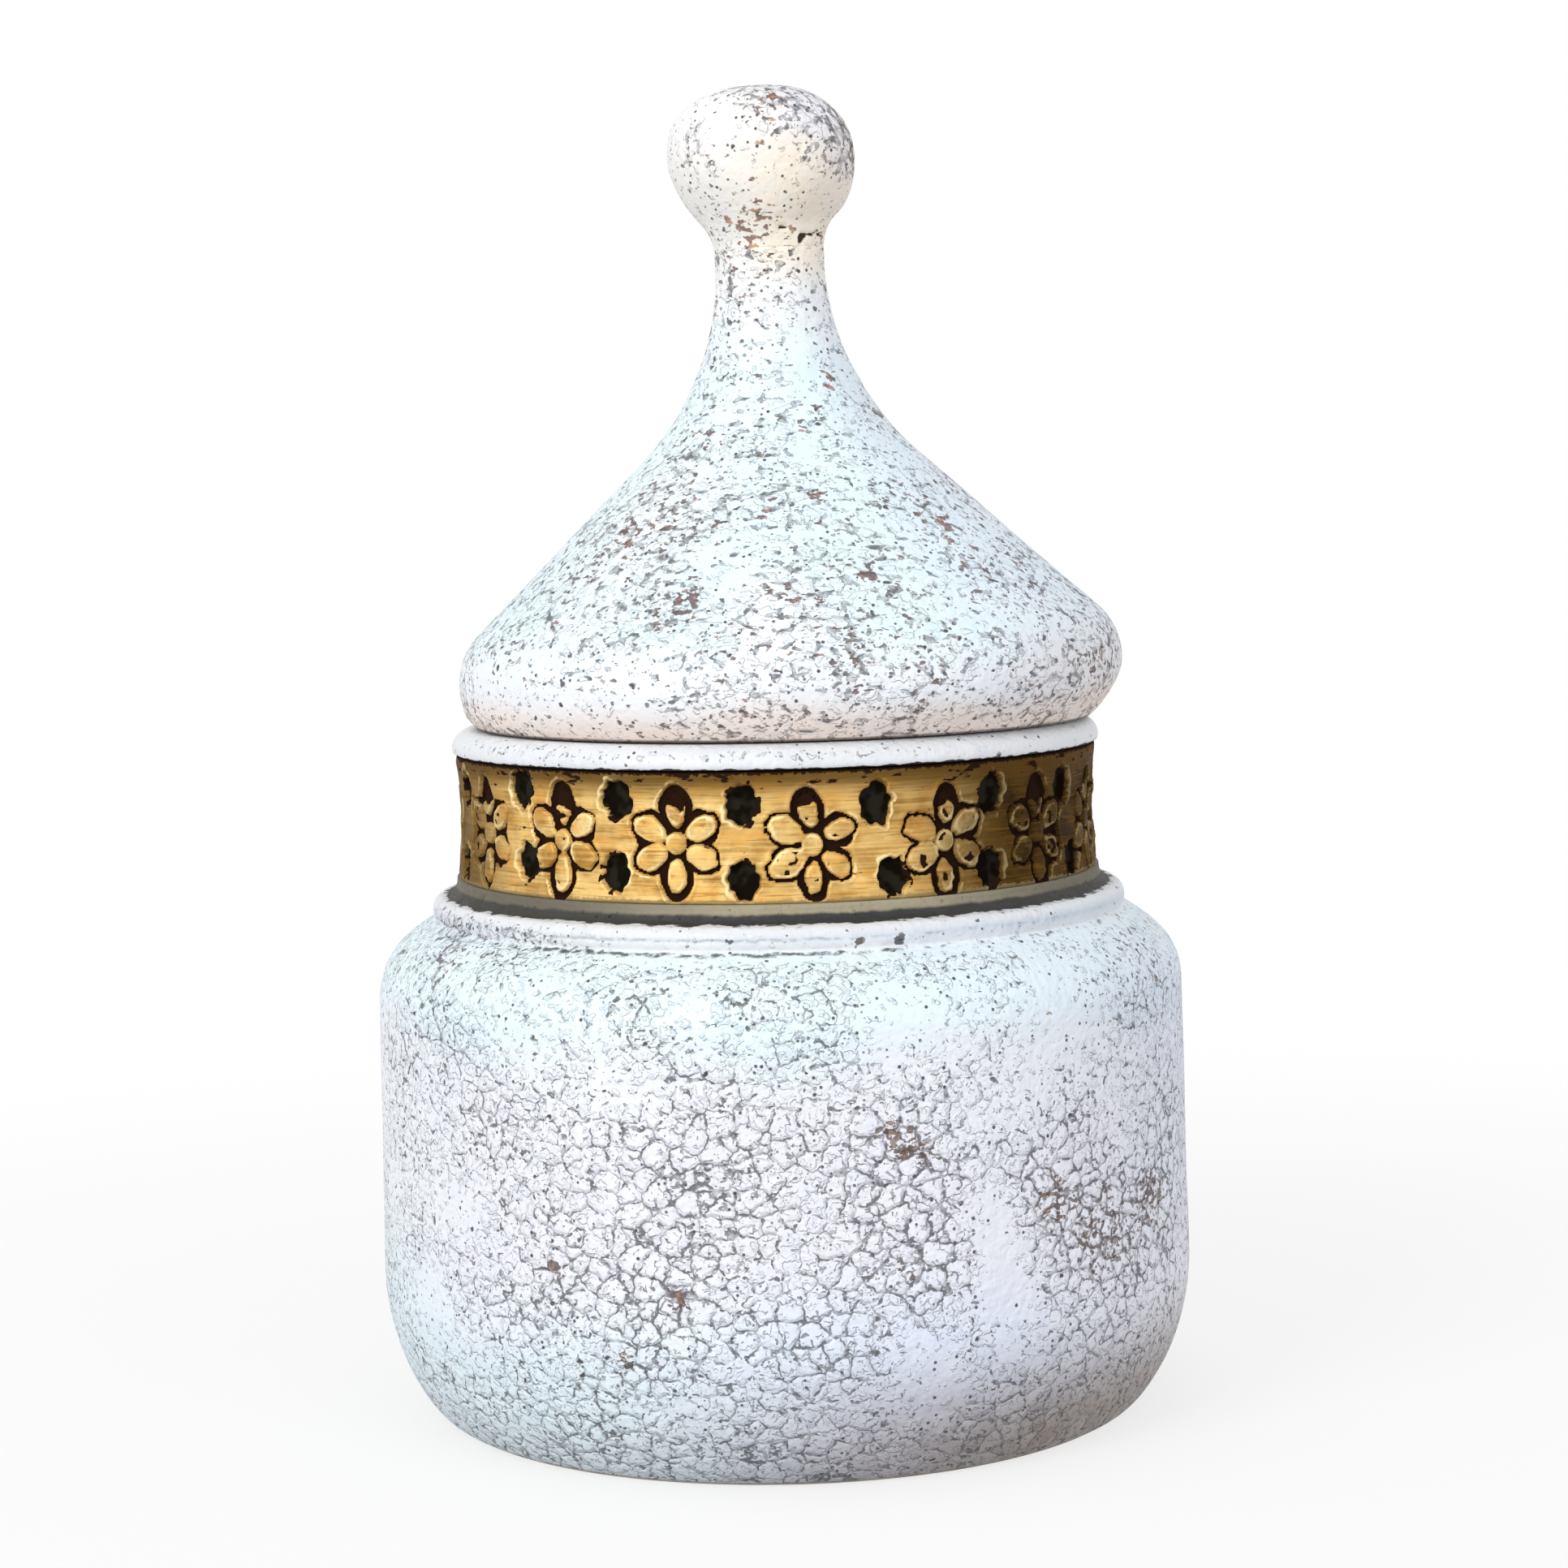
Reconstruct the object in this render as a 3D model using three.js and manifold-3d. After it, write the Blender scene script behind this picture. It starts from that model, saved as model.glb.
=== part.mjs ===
// Lidded stoneware jar: a round-bellied pot with a stamped band round its short neck,
// and a hollow conical lid with a ball knob, which stands on the rim and lifts straight off.
// Millimetres, +Z up, origin on the ground at the centre of the foot.
import * as THREE from 'three';
import { mergeVertices } from 'three/addons/utils/BufferGeometryUtils.js';
import Module from 'manifold-3d';

const wasm = await Module();
wasm.setup();

// Pot, outside, from the ground up
const bellyRadius = 77.4; // widest part
const footInset = 12.1; // foot's edge, in from the belly
const heelHeight = 28.2; // where the heel has curved up to the belly
const bellyHeight = 51.0; // nearly upright wall
const bellyTaper = 0.8; // what the wall draws in by over that height
const shoulderRise = 15.8; // from the wall's end to the underside of the bead
const beadProud = 4.8; // rounded bead on which the shoulder ends, past the neck
const beadHeight = 4.2;
const ledgeInset = 2.5; // bead's upper edge, in from the bead
const coveHeight = 3.1; // hollow moulding from the bead up to the neck
const neckRadius = 61.2; // neck at the band's lower edge
const rimOverhang = 0.4; // rim, past the neck
const rimHeight = 4.4;
const rimSlope = 3.3; // width of the rim's sloping outer part

// Pot, inside and underneath
const wall = 5.5;
const floorThickness = 6.0;
const footRecess = 2.5; // hollow turned under the foot
const footRingWidth = 9.0;
const neckWall = 4.8; // neck, behind the band
const mouthRound = 1.5; // worn inner edge of the rim

// Stamped band, a clay strip laid in a channel round the neck
const bandHeight = 23.9;
const bandThickness = 2.4;
const bandWaist = 0.8; // hollow of the band's outer face
const slipGap = 0.3; // layer of slip between pieces that are stuck together
const flowerCount = 16;
const firstFlower = -61.9; // degrees round the neck from the front, towards +X
const marginBelow = 0.9; // band left plain under a flower
const marginAbove = 3.6;
const petalLength = 7.2;
const petalWidth = 4.8;
const petalRise = 0.8; // petals stand this proud of the band
const petalTurn = 60; // degrees from petal to petal
const eyeDiameter = 4.6; // round centre of a flower
const pitDiameter = 7.0; // two round pits between two flowers, one above the other
const pitDepth = 0.9;
const pitMargin = 1.3; // from the lower pit to the band's lower edge
const pitSpacing = 13.4;

// Lid: height 0 is the flat ring that stands on the rim
const seatGap = 0.3; // between the lid and the rim
const lidOffset = 1.75; // the lid stands a little off centre, towards +X
const lidOverhang = 1.4; // lid's rounded edge, past the rim
const lidFootInset = 4.6; // lid's foot, in from that edge
const edgeRound = 12.6; // radius of the rounded edge
const coneAngle = 43.2; // slope of the lid, degrees from level
const stemRadius = 10.3;
const flareReach = 22.1; // length over which the slope turns up into the stem
const stemLength = 2.2; // straight stem above the flare
const lidWall = 5.5;
const edgeWall = 9.0; // thickness at the rounded edge
const hollowTopRadius = 9.0; // rounded top of the hollow

// Locating ring under the lid
const flangeClearance = 0.95; // to the mouth, on the side where the lid stands closest
const flangeWall = 4.5;
const flangeDepth = 11.0;
const flangeChamfer = 1.2;

// Knob
const knobRadius = 17.8;
const knobRise = 12.3; // from the widest part up to the top
const knobDrop = 17.6; // and down to the stem
const knobFoot = 0.7; // knob's foot, past the stem
const knobOffset = -0.5; // the knob is set a little off the stem's axis

// The lid slumped in the kiln: it leans towards -X above its still upright foot
const leanAngle = 1.57;
const slumpShift = 1.7;
const slumpStart = 7.7;

// Facets
const roundSegments = 48;
const knobSegments = 32;
const curveSteps = 5;
const bandSteps = 3;
const pitSides = 10;

// Places worked out from the sizes above
const floorTop = footRecess + floorThickness;
const shoulderZ = heelHeight + bellyHeight;
const beadZ = shoulderZ + shoulderRise;
const ledgeZ = beadZ + beadHeight;
const bandZ = ledgeZ + coveHeight;
const rimZ = bandZ + bandHeight;
const seatZ = rimZ + rimHeight;
const footRadius = bellyRadius - footInset;
const shoulderRadius = bellyRadius - bellyTaper;
const beadRadius = neckRadius + beadProud;
const ledgeRadius = beadRadius - ledgeInset;
const rimRadius = neckRadius + rimOverhang;
const channelRadius = neckRadius - bandWaist - bandThickness;
const mouthRadius = channelRadius - neckWall;
const lidRadius = rimRadius + lidOverhang;
const flangeRadius = mouthRadius - lidOffset - flangeClearance;
const flangeBore = flangeRadius - flangeWall;

const whiteGlaze = { color: 0xeef1f3, roughness: 0.35, metalness: 0 };
const gildedGlaze = { color: 0xc4964a, roughness: 0.4, metalness: 0.3 };
const bareClay = { color: 0xcdbfae, roughness: 0.85, metalness: 0 };

const { degToRad, radToDeg, lerp, smoothstep } = THREE.MathUtils;

function piece(name, geometry, finish) {
  const mesh = new THREE.Mesh(geometry, new THREE.MeshStandardMaterial(finish));
  mesh.name = name;
  return mesh;
}

// A profile of radius and height, turned round the Z axis
function turned(profile, segments = roundSegments) {
  const geometry = new THREE.LatheGeometry(profile, segments);
  return geometry.rotateX(Math.PI / 2);
}

function outlineFrom(radius, height) {
  return new THREE.Path().moveTo(radius, height);
}

function toSolid(geometry) {
  const bare = geometry.clone();
  bare.deleteAttribute('normal');
  bare.deleteAttribute('uv');
  const merged = mergeVertices(bare);
  const vertProperties = new Float32Array(merged.attributes.position.array);
  const triVerts = new Uint32Array(merged.index.array);
  return new wasm.Manifold(new wasm.Mesh({ numProp: 3, vertProperties, triVerts }));
}

function toGeometry(solid) {
  const mesh = solid.getMesh();
  const geometry = new THREE.BufferGeometry();
  geometry.setAttribute('position', new THREE.BufferAttribute(mesh.vertProperties, 3));
  geometry.setIndex(new THREE.BufferAttribute(mesh.triVerts, 1));
  geometry.computeVertexNormals();
  return geometry;
}

// Foot ring, rounded heel, belly and shoulder
function drawPotOutside(path) {
  const footBore = footRadius - footRingWidth;
  path.lineTo(footBore - footRecess, footRecess);
  path.lineTo(footBore, 0);
  path.lineTo(footRadius, 0);
  path.bezierCurveTo(
    footRadius + footInset / 4, 0,
    bellyRadius, heelHeight * 0.45,
    bellyRadius, heelHeight,
  );
  path.lineTo(bellyRadius - bellyTaper / 4, heelHeight + bellyHeight / 2);
  path.lineTo(shoulderRadius, shoulderZ);
  path.bezierCurveTo(
    shoulderRadius, shoulderZ + shoulderRise / 2,
    lerp(shoulderRadius, beadRadius, 0.34), beadZ - shoulderRise * 0.28,
    beadRadius - beadHeight / 10, beadZ,
  );
}

// Bead, hollow moulding, channel for the band, rim and the flat seat for the lid
function drawNeckOutside(path) {
  path.lineTo(beadRadius, beadZ + beadHeight * 0.4);
  path.lineTo(lerp(beadRadius, ledgeRadius, 0.35), ledgeZ - beadHeight * 0.15);
  path.lineTo(ledgeRadius, ledgeZ);
  path.lineTo(lerp(ledgeRadius, neckRadius, 0.7), ledgeZ + coveHeight / 2);
  path.lineTo(neckRadius, bandZ);
  path.lineTo(channelRadius, bandZ);
  path.lineTo(channelRadius, rimZ);
  path.lineTo(neckRadius, rimZ);
  path.lineTo(rimRadius, rimZ + rimHeight * 0.55);
  path.lineTo(rimRadius - rimSlope / 3, rimZ + rimHeight * 0.85);
  path.lineTo(rimRadius - rimSlope, seatZ);
}

// Bore of the neck, inside of the shoulder and wall, and the floor
function drawPotInside(path) {
  const innerBelly = bellyRadius - wall;
  const innerShoulder = shoulderRadius - wall;
  path.lineTo(mouthRadius + mouthRound, seatZ);
  path.lineTo(mouthRadius + mouthRound * 0.3, seatZ - mouthRound * 0.3);
  path.lineTo(mouthRadius, seatZ - mouthRound);
  path.lineTo(mouthRadius, bandZ);
  path.bezierCurveTo(
    mouthRadius, beadZ,
    lerp(innerShoulder, mouthRadius, 0.55), beadZ - wall * 0.6,
    lerp(innerShoulder, mouthRadius, 0.35), shoulderZ + shoulderRise * 0.62,
  );
  path.bezierCurveTo(
    lerp(innerShoulder, mouthRadius, 0.15), shoulderZ + shoulderRise * 0.5,
    innerShoulder, shoulderZ + shoulderRise * 0.3,
    innerShoulder, shoulderZ,
  );
  path.lineTo(innerBelly, heelHeight);
  path.bezierCurveTo(
    innerBelly, lerp(floorTop, heelHeight, 0.45),
    footRadius - wall + footInset / 4, floorTop,
    footRadius - wall, floorTop,
  );
  path.lineTo(0, floorTop);
}

function jarBody() {
  const path = outlineFrom(0, footRecess);
  drawPotOutside(path);
  drawNeckOutside(path);
  drawPotInside(path);
  return turned(path.getPoints(curveSteps));
}

// Radius of the band's outer face at a height above its lower edge: a shallow hollow
function bandRadius(height) {
  const share = height / bandHeight;
  return neckRadius - petalRise / 2 - 4 * bandWaist * share * (1 - share);
}

// Moves a solid made at the origin, facing the front, to its place on the band
function onBand(solid, angle, height) {
  const radius = bandRadius(height);
  const x = radius * Math.sin(degToRad(angle));
  const y = -radius * Math.cos(degToRad(angle));
  return solid.rotate([0, 0, angle]).translate([x, y, bandZ + height]);
}

// A domed oval facing the front, its long way at some degrees from level
function domedOval(length, width, turn) {
  const oval = new THREE.SphereGeometry(0.5, 6, 3);
  oval.scale(width, 2 * petalRise, length);
  oval.rotateY(degToRad(90 - turn));
  return toSolid(oval);
}

// Six petals round an eye, as high as the band's margins leave room for
function flower(angle) {
  const height = bandHeight - marginBelow - marginAbove;
  const middle = marginBelow + height / 2;
  const reach = (height - petalLength) / 2;
  const parts = [onBand(domedOval(eyeDiameter, eyeDiameter, 0), angle, middle)];
  for (let turn = petalTurn / 2; turn < 360; turn += petalTurn) {
    const along = reach * Math.cos(degToRad(turn)) / bandRadius(middle);
    const up = middle + reach * Math.sin(degToRad(turn));
    const petal = domedOval(petalLength, petalWidth, turn);
    parts.push(onBand(petal, angle + radToDeg(along), up));
  }
  return wasm.Manifold.union(parts);
}

function pits(angle) {
  const radius = pitDiameter / 2;
  const pit = toSolid(new THREE.CylinderGeometry(radius, radius, 2 * pitDepth, pitSides));
  const lower = pitMargin + radius;
  const heights = [lower, lower + pitSpacing];
  return wasm.Manifold.union(heights.map((height) => onBand(pit, angle, height)));
}

function neckBand() {
  const inner = channelRadius + slipGap;
  const low = slipGap;
  const high = bandHeight - slipGap;
  const path = outlineFrom(inner, bandZ + low);
  for (let i = 0; i <= bandSteps; i++) {
    const height = lerp(low, high, i / bandSteps);
    path.lineTo(bandRadius(height), bandZ + height);
  }
  path.lineTo(inner, bandZ + high);
  path.lineTo(inner, bandZ + low);
  const strip = toSolid(turned(path.getPoints()));
  const pitch = 360 / flowerCount;
  const angles = Array.from({ length: flowerCount }, (_, i) => firstFlower + i * pitch);
  const flowers = wasm.Manifold.union(angles.map(flower));
  const allPits = wasm.Manifold.union(angles.map((angle) => pits(angle + pitch / 2)));
  return toGeometry(strip.add(flowers).subtract(allPits));
}

// Moves the lid's points sideways with height, and down on the side that it leans to
function slump(geometry) {
  const lean = Math.tan(degToRad(leanAngle));
  const position = geometry.attributes.position;
  for (let i = 0; i < position.count; i++) {
    const x = position.getX(i);
    const z = position.getZ(i);
    const share = smoothstep(z, 0, slumpStart);
    position.setX(i, x + share * (slumpShift - lean * z));
    position.setZ(i, z + share * lean * x);
  }
  return geometry;
}

// Centre of the rounded edge, and the point where the slope leaves it
const slope = degToRad(coneAngle);
const edgeCentre = lidRadius - edgeRound;
const edgeHeight = Math.sqrt(edgeRound ** 2 - (edgeRound - lidFootInset) ** 2);
const slopeRadius = edgeCentre + edgeRound * Math.sin(slope);
const slopeHeight = edgeHeight + edgeRound * Math.cos(slope);

// Height of the slope at a radius, moved in from the outside by some depth
function slopeAt(radius, depth) {
  return slopeHeight + (slopeRadius - radius) * Math.tan(slope) - depth / Math.cos(slope);
}

// The slope would meet the stem's side in a corner, which the flare rounds off
const cornerHeight = slopeAt(stemRadius, 0);
const stemTop = cornerHeight + flareReach + stemLength;

function lidDome() {
  const lowest = -Math.asin(edgeHeight / edgeRound);
  const flareRadius = stemRadius + flareReach * Math.cos(slope);
  const flareControl = stemRadius + flareReach * Math.cos(slope) * 0.36;
  const innerEdge = lidRadius - edgeWall;
  const hollowRadius = 2 * hollowTopRadius;
  const hollowHeight = slopeAt(hollowTopRadius, lidWall);
  const path = outlineFrom(flangeBore, 0);
  path.lineTo(lidRadius - lidFootInset, 0);
  path.absarc(edgeCentre, edgeHeight, edgeRound, lowest, Math.PI / 2 - slope, false);
  path.lineTo(flareRadius, slopeAt(flareRadius, 0));
  path.bezierCurveTo(
    flareControl, slopeAt(flareControl, 0),
    stemRadius, cornerHeight + flareReach * 0.36,
    stemRadius, cornerHeight + flareReach,
  );
  path.lineTo(stemRadius, stemTop);
  path.lineTo(0, stemTop);
  path.lineTo(0, hollowHeight);
  path.quadraticCurveTo(
    hollowTopRadius, hollowHeight,
    hollowRadius, slopeAt(hollowRadius, lidWall),
  );
  path.lineTo(innerEdge, slopeAt(innerEdge, lidWall));
  path.quadraticCurveTo(innerEdge, edgeHeight / 2, flangeBore, edgeHeight / 3);
  path.lineTo(flangeBore, 0);
  return slump(turned(path.getPoints(curveSteps)));
}

function lidFlange() {
  const path = outlineFrom(flangeBore, 0);
  path.lineTo(flangeBore, flangeChamfer - flangeDepth);
  path.lineTo(flangeBore + flangeChamfer, -flangeDepth);
  path.lineTo(flangeRadius - flangeChamfer, -flangeDepth);
  path.lineTo(flangeRadius, flangeChamfer - flangeDepth);
  path.lineTo(flangeRadius, 0);
  path.lineTo(flangeBore, 0);
  return turned(path.getPoints());
}

// A pear-shaped ball: flattened on top, drawn in to the stem below
function lidKnob() {
  const footHeight = stemTop + slipGap;
  const middle = footHeight + knobDrop;
  const top = middle + knobRise;
  const foot = stemRadius + knobFoot;
  const path = outlineFrom(0, footHeight);
  path.lineTo(foot, footHeight);
  path.bezierCurveTo(
    lerp(foot, knobRadius, 0.4), footHeight + knobDrop * 0.28,
    knobRadius, footHeight + knobDrop * 0.6,
    knobRadius, middle,
  );
  path.bezierCurveTo(
    knobRadius, middle + knobRise * 0.66,
    knobRadius * 0.62, top,
    0, top,
  );
  const ball = slump(turned(path.getPoints(curveSteps), knobSegments));
  return ball.translate(knobOffset, 0, 0);
}

const jar = new THREE.Group();
jar.add(piece('jar_body', jarBody(), whiteGlaze));
jar.add(piece('neck_band', neckBand(), gildedGlaze));

const lid = new THREE.Group();
lid.position.set(lidOffset, 0, seatZ + seatGap);
lid.add(piece('lid_dome', lidDome(), whiteGlaze));
lid.add(piece('lid_flange', lidFlange(), bareClay));
lid.add(piece('lid_knob', lidKnob(), whiteGlaze));

const liddedJar = new THREE.Group();
liddedJar.add(jar, lid);

export default liddedJar;
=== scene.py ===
# %% [markdown]
# A lidded jar in Blender
# The real object is a glazed stoneware jar with a pointed lid. Its white glaze has crazed into a net of
# fine grey cracks, and a gilded band of stamped flowers goes round its neck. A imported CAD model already
# gives every piece its place and size, so this lesson only dresses it: each piece becomes a fine surface
# worked out with numpy, and each finish becomes a material made of shader nodes.
# Blender works in metres in the CAD frame, but the shapes below are thought out in millimetres.

# %% Load the CAD frame
import math
from itertools import product

import bpy
import numpy as np
from mathutils import Matrix, Vector


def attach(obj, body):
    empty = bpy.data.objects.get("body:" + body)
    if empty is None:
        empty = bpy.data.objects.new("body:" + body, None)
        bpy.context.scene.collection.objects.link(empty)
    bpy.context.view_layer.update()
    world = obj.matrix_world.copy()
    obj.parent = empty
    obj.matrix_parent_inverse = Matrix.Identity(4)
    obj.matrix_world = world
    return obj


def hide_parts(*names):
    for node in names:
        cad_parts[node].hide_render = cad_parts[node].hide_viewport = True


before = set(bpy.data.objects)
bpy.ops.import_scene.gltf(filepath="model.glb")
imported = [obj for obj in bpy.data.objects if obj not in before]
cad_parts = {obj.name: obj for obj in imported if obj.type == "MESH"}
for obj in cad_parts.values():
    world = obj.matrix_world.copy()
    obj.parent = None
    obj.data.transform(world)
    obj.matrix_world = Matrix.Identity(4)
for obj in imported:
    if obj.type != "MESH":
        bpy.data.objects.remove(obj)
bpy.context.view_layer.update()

# %% [markdown]
# The camera comes first, because every later choice is seen through it. The photograph was taken
# from a little above the lid's edge, about 0.7 m away, with the camera rolled a degree or so, which is
# why the jar seems to lean. Height, distance, tilt and roll were found by laying the jar's own circles
# (foot, shoulder, rim, lid edge) over the photograph until their curves agreed.

# %% Camera
CAMERA_DISTANCE = 0.700
CAMERA_HEIGHT = 0.1803
CAMERA_PITCH = 5.06
CAMERA_YAW = 0.124
CAMERA_ROLL = 1.334
CAMERA_LENS = 84.35
CAMERA_SENSOR = 36

lens = bpy.data.cameras.new("camera")
lens.lens = CAMERA_LENS
lens.sensor_width = CAMERA_SENSOR
camera = bpy.data.objects.new("camera", lens)
turn = Matrix.Rotation(math.radians(-CAMERA_YAW), 4, "Z")
tip = Matrix.Rotation(math.radians(90 - CAMERA_PITCH), 4, "X")
roll = Matrix.Rotation(math.radians(-CAMERA_ROLL), 4, "Z")
camera.matrix_world = Matrix.Translation((0, -CAMERA_DISTANCE, CAMERA_HEIGHT)) @ turn @ tip @ roll
bpy.context.scene.collection.objects.link(camera)
bpy.context.scene.camera = camera
print("camera at", [round(v, 3) for v in camera.location], "lens", CAMERA_LENS, "mm")

# %% [markdown]
# A thrown pot is a profile carried round an axis, so most pieces here are made the same way. A profile
# is a list of (radius, height) points. Spin or the Screw modifier could turn it, but a grid of points
# worked out in numpy can also be dented, leaned or stamped before it becomes a mesh, so that is the way
# used. A route is written as a potter would read it, from point to point, straight or curved.

# %% Profile helpers
def line(start, end, step):
    """Points on a straight stretch, evenly spaced by about `step` mm, without the last one."""
    start = np.array(start, float)
    end = np.array(end, float)
    count = max(1, round(float(np.linalg.norm(end - start)) / step))
    share = np.arange(count)[:, None] / count
    return start + (end - start) * share


def distances(path):
    """How far along a path each of its points lies, in mm."""
    return np.concatenate([[0], np.cumsum(np.linalg.norm(np.diff(path, axis=0), axis=1))])


def at_distances(path, stops):
    """The points of a path at the given distances along it."""
    return np.stack([np.interp(stops, distances(path), path[:, i]) for i in (0, 1)], axis=1)


def curve(start, pull_a, pull_b, end, step):
    """Points on a cubic Bezier curve, without the last one.

    A point is the sum of the four given points weighed by (1-t)^3, 3t(1-t)^2, 3t^2(1-t) and t^3.
    They are first taken densely, then spaced evenly along the curve's length."""
    t = np.linspace(0, 1, 400)[:, None]
    p = [np.array(v, float) for v in (start, pull_a, pull_b, end)]
    dense = p[0] * (1 - t) ** 3 + 3 * p[1] * t * (1 - t) ** 2 + 3 * p[2] * t**2 * (1 - t) + p[3] * t**3
    length = distances(dense)[-1]
    count = max(2, round(length / step))
    return at_distances(dense, np.arange(count) / count * length)


def route(start, *legs):
    """A profile made of legs, without its last point.

    A leg lists the points that come next, and then the spacing in mm. With one point it is straight,
    and with three it is a curve that the first two pull at."""
    stretches = []
    for *points, step in legs:
        stretch = line if len(points) == 1 else curve
        stretches.append(stretch(start, *points, step))
        start = points[-1]
    return np.vstack(stretches)


def turned(profile, columns):
    """Carries a profile round the vertical axis: x = r sin(a), y = -r cos(a), z = height.

    The angle a starts at the front of the jar and grows towards its right side. The profile is the
    same for all columns, or an array with one profile for each."""
    angle = (np.arange(columns) * 2 * np.pi / columns)[:, None]
    radius, height = np.moveaxis(np.broadcast_to(profile, (columns,) + profile.shape[-2:]), 2, 0)
    return np.stack([radius * np.sin(angle), -radius * np.cos(angle), height], axis=2)


# %% [markdown]
# A grid becomes a mesh with one four-sided face between each pair of columns and rows. Some profiles
# start or end near the axis: there the faces meet in one point, a pole, so the surface has no hole.
# Others, such as a ring, come back to where they started. In both cases the mesh is watertight.

# %% From a grid to a mesh
def make_piece(name, grid, ring=False, poles=()):
    """A smooth mesh object from a grid of points in mm: columns go round, rows go along the profile.

    With ring=True the last row joins the first. `poles` gives the two points on the axis that close
    the first row and the last."""
    columns, rows = grid.shape[:2]
    number = np.arange(columns * rows).reshape(columns, rows)
    beside = np.roll(number, -1, axis=0)
    if ring:
        number = np.hstack([number, number[:, :1]])
        beside = np.hstack([beside, beside[:, :1]])
    quads = np.stack([number[:, :-1], beside[:, :-1], beside[:, 1:], number[:, 1:]], axis=2)
    faces = quads.reshape(-1, 4).tolist()
    triangles = 2 * len(faces)
    points = grid.reshape(-1, 3)
    if poles:
        first = columns * rows
        points = np.vstack([points, poles])
        low_fan = np.stack([beside[:, 0], number[:, 0], np.full(columns, first)], axis=1)
        high_fan = np.stack([number[:, -1], beside[:, -1], np.full(columns, first + 1)], axis=1)
        faces += low_fan.tolist() + high_fan.tolist()
        triangles += 2 * columns
    mesh = bpy.data.meshes.new(name)
    mesh.from_pydata((points * 0.001).tolist(), [], faces)
    mesh.shade_smooth()
    mesh.update()
    piece = bpy.data.objects.new(name, mesh)
    bpy.context.scene.collection.objects.link(piece)
    print(f"{name}: {columns} columns x {rows} rows, {triangles} triangles")
    return piece


def points_of(piece):
    """A piece's points in mm, as an array with one row for each point."""
    flat = np.empty(len(piece.data.vertices) * 3)
    piece.data.vertices.foreach_get("co", flat)
    return flat.reshape(-1, 3) * 1000


def paint(piece, name, values):
    """Writes one number, or one colour, for each point, where a material can read it by name."""
    values = np.asarray(values, float)
    if values.ndim == 1:
        layer = piece.data.attributes.new(name, "FLOAT", "POINT")
        layer.data.foreach_set("value", values)
    else:
        layer = piece.data.attributes.new(name, "FLOAT_COLOR", "POINT")
        layer.data.foreach_set("color", np.hstack([values, np.ones((len(values), 1))]).ravel())


# %% [markdown]
# Nothing made by hand is quite even. The next helper gives smooth random values, so a wall can wander
# in and out by a fraction of a millimetre and a stain can have a ragged edge. Blender's own Noise
# texture could do it inside a material, but these values are needed for shapes as well.

# %% Smooth random values and soft places
def ease(low, high, values):
    """0 below `low`, 1 above `high`, and between them the smooth step 3t^2 - 2t^3."""
    t = np.clip((values - low) / (high - low), 0, 1)
    return t * t * (3 - 2 * t)


def wander(points, size, seed):
    """Smooth random values from -1 to 1 that change over about `size` mm.

    Space is cut into cubes of that size. Each corner of a cube gets a fixed random value from the
    digits of a sine, and a point blends its cube's eight corners by eased distances."""
    cells = np.asarray(points, float) / size
    low = np.floor(cells)
    share = ease(0, 1, cells - low)
    total = 0
    for corner in product((0, 1), repeat=3):
        mixed = (low + corner) @ np.array([12.9898, 78.233, 37.719]) + 4.137 * seed
        value = (np.sin(mixed) * 43758.5453) % 1
        weight = np.prod(np.where(corner, share, 1 - share), axis=-1)
        total = total + value * weight
    return 2 * total - 1


def front_angle(points):
    """Degrees round the axis from the front, growing towards the right side, from -180 to 180."""
    return np.degrees(np.arctan2(points[..., 0], -points[..., 1]))


def sideways(points):
    """Degrees to the right of the middle: 90 at the right, -90 at the left, 0 in front and behind.

    It is the arc sine of x over the distance from the axis. What it steers meets itself behind the
    jar without a step, which the plain angle doesn't, because it jumps there from 180 to -180."""
    from_axis = np.maximum(np.hypot(points[..., 0], points[..., 1]), 1e-6)
    return np.degrees(np.arcsin(np.clip(points[..., 0] / from_axis, -1, 1)))


def near(points, angle, height, reach):
    """1 at a place given by its angle and height, fading like a bell over `reach` mm along the wall."""
    apart = (front_angle(points) - angle + 180) % 360 - 180
    along = np.radians(apart) * np.hypot(points[..., 0], points[..., 1])
    return np.exp(-(along**2 + (points[..., 2] - height) ** 2) / reach**2)


# %% [markdown]
# The pot is one closed surface: under the foot, up the rounded heel, the wall and the shoulder, over
# the bead and the hollow moulding, into the channel that holds the band, over the rim, and down the
# inside to the floor. Rows lie about a millimetre apart outside, closer on the bead and the rim where
# light shows every bend, and wider inside. The slip that holds the band fills the gap below it, up to
# SLIP_TOP. The foot stays bare clay on such a jar, so it is a thin piece of its own below the glaze.

# %% Pot sizes
FOOT_RADIUS = 65.8
FOOT_BORE = 56.4
FOOT_RECESS = 2.95
GLAZE_EDGE = 0.45
BELLY_RADIUS = 77.3
HEEL_HEIGHT = 28.2
SHOULDER_RADIUS = 76.5
SHOULDER_HEIGHT = 79.2
BEAD_RADIUS = 65.6
BEAD_HEIGHT = 95.0
LEDGE_RADIUS = 63.5
LEDGE_HEIGHT = 99.2
NECK_RADIUS = 61.2
BAND_LOW = 102.3
SLIP_TOP = 102.54
BAND_HIGH = 126.2
CHANNEL_RADIUS = 58.0
SEAT_HEIGHT = 130.6
SEAT_RADIUS = 58.4
MOUTH_RADIUS = 53.2
MOUTH_ROUND = 1.5
INSIDE_RADIUS = 71.6
FLOOR_HEIGHT = 8.5
POLE_GAP = 6

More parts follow.
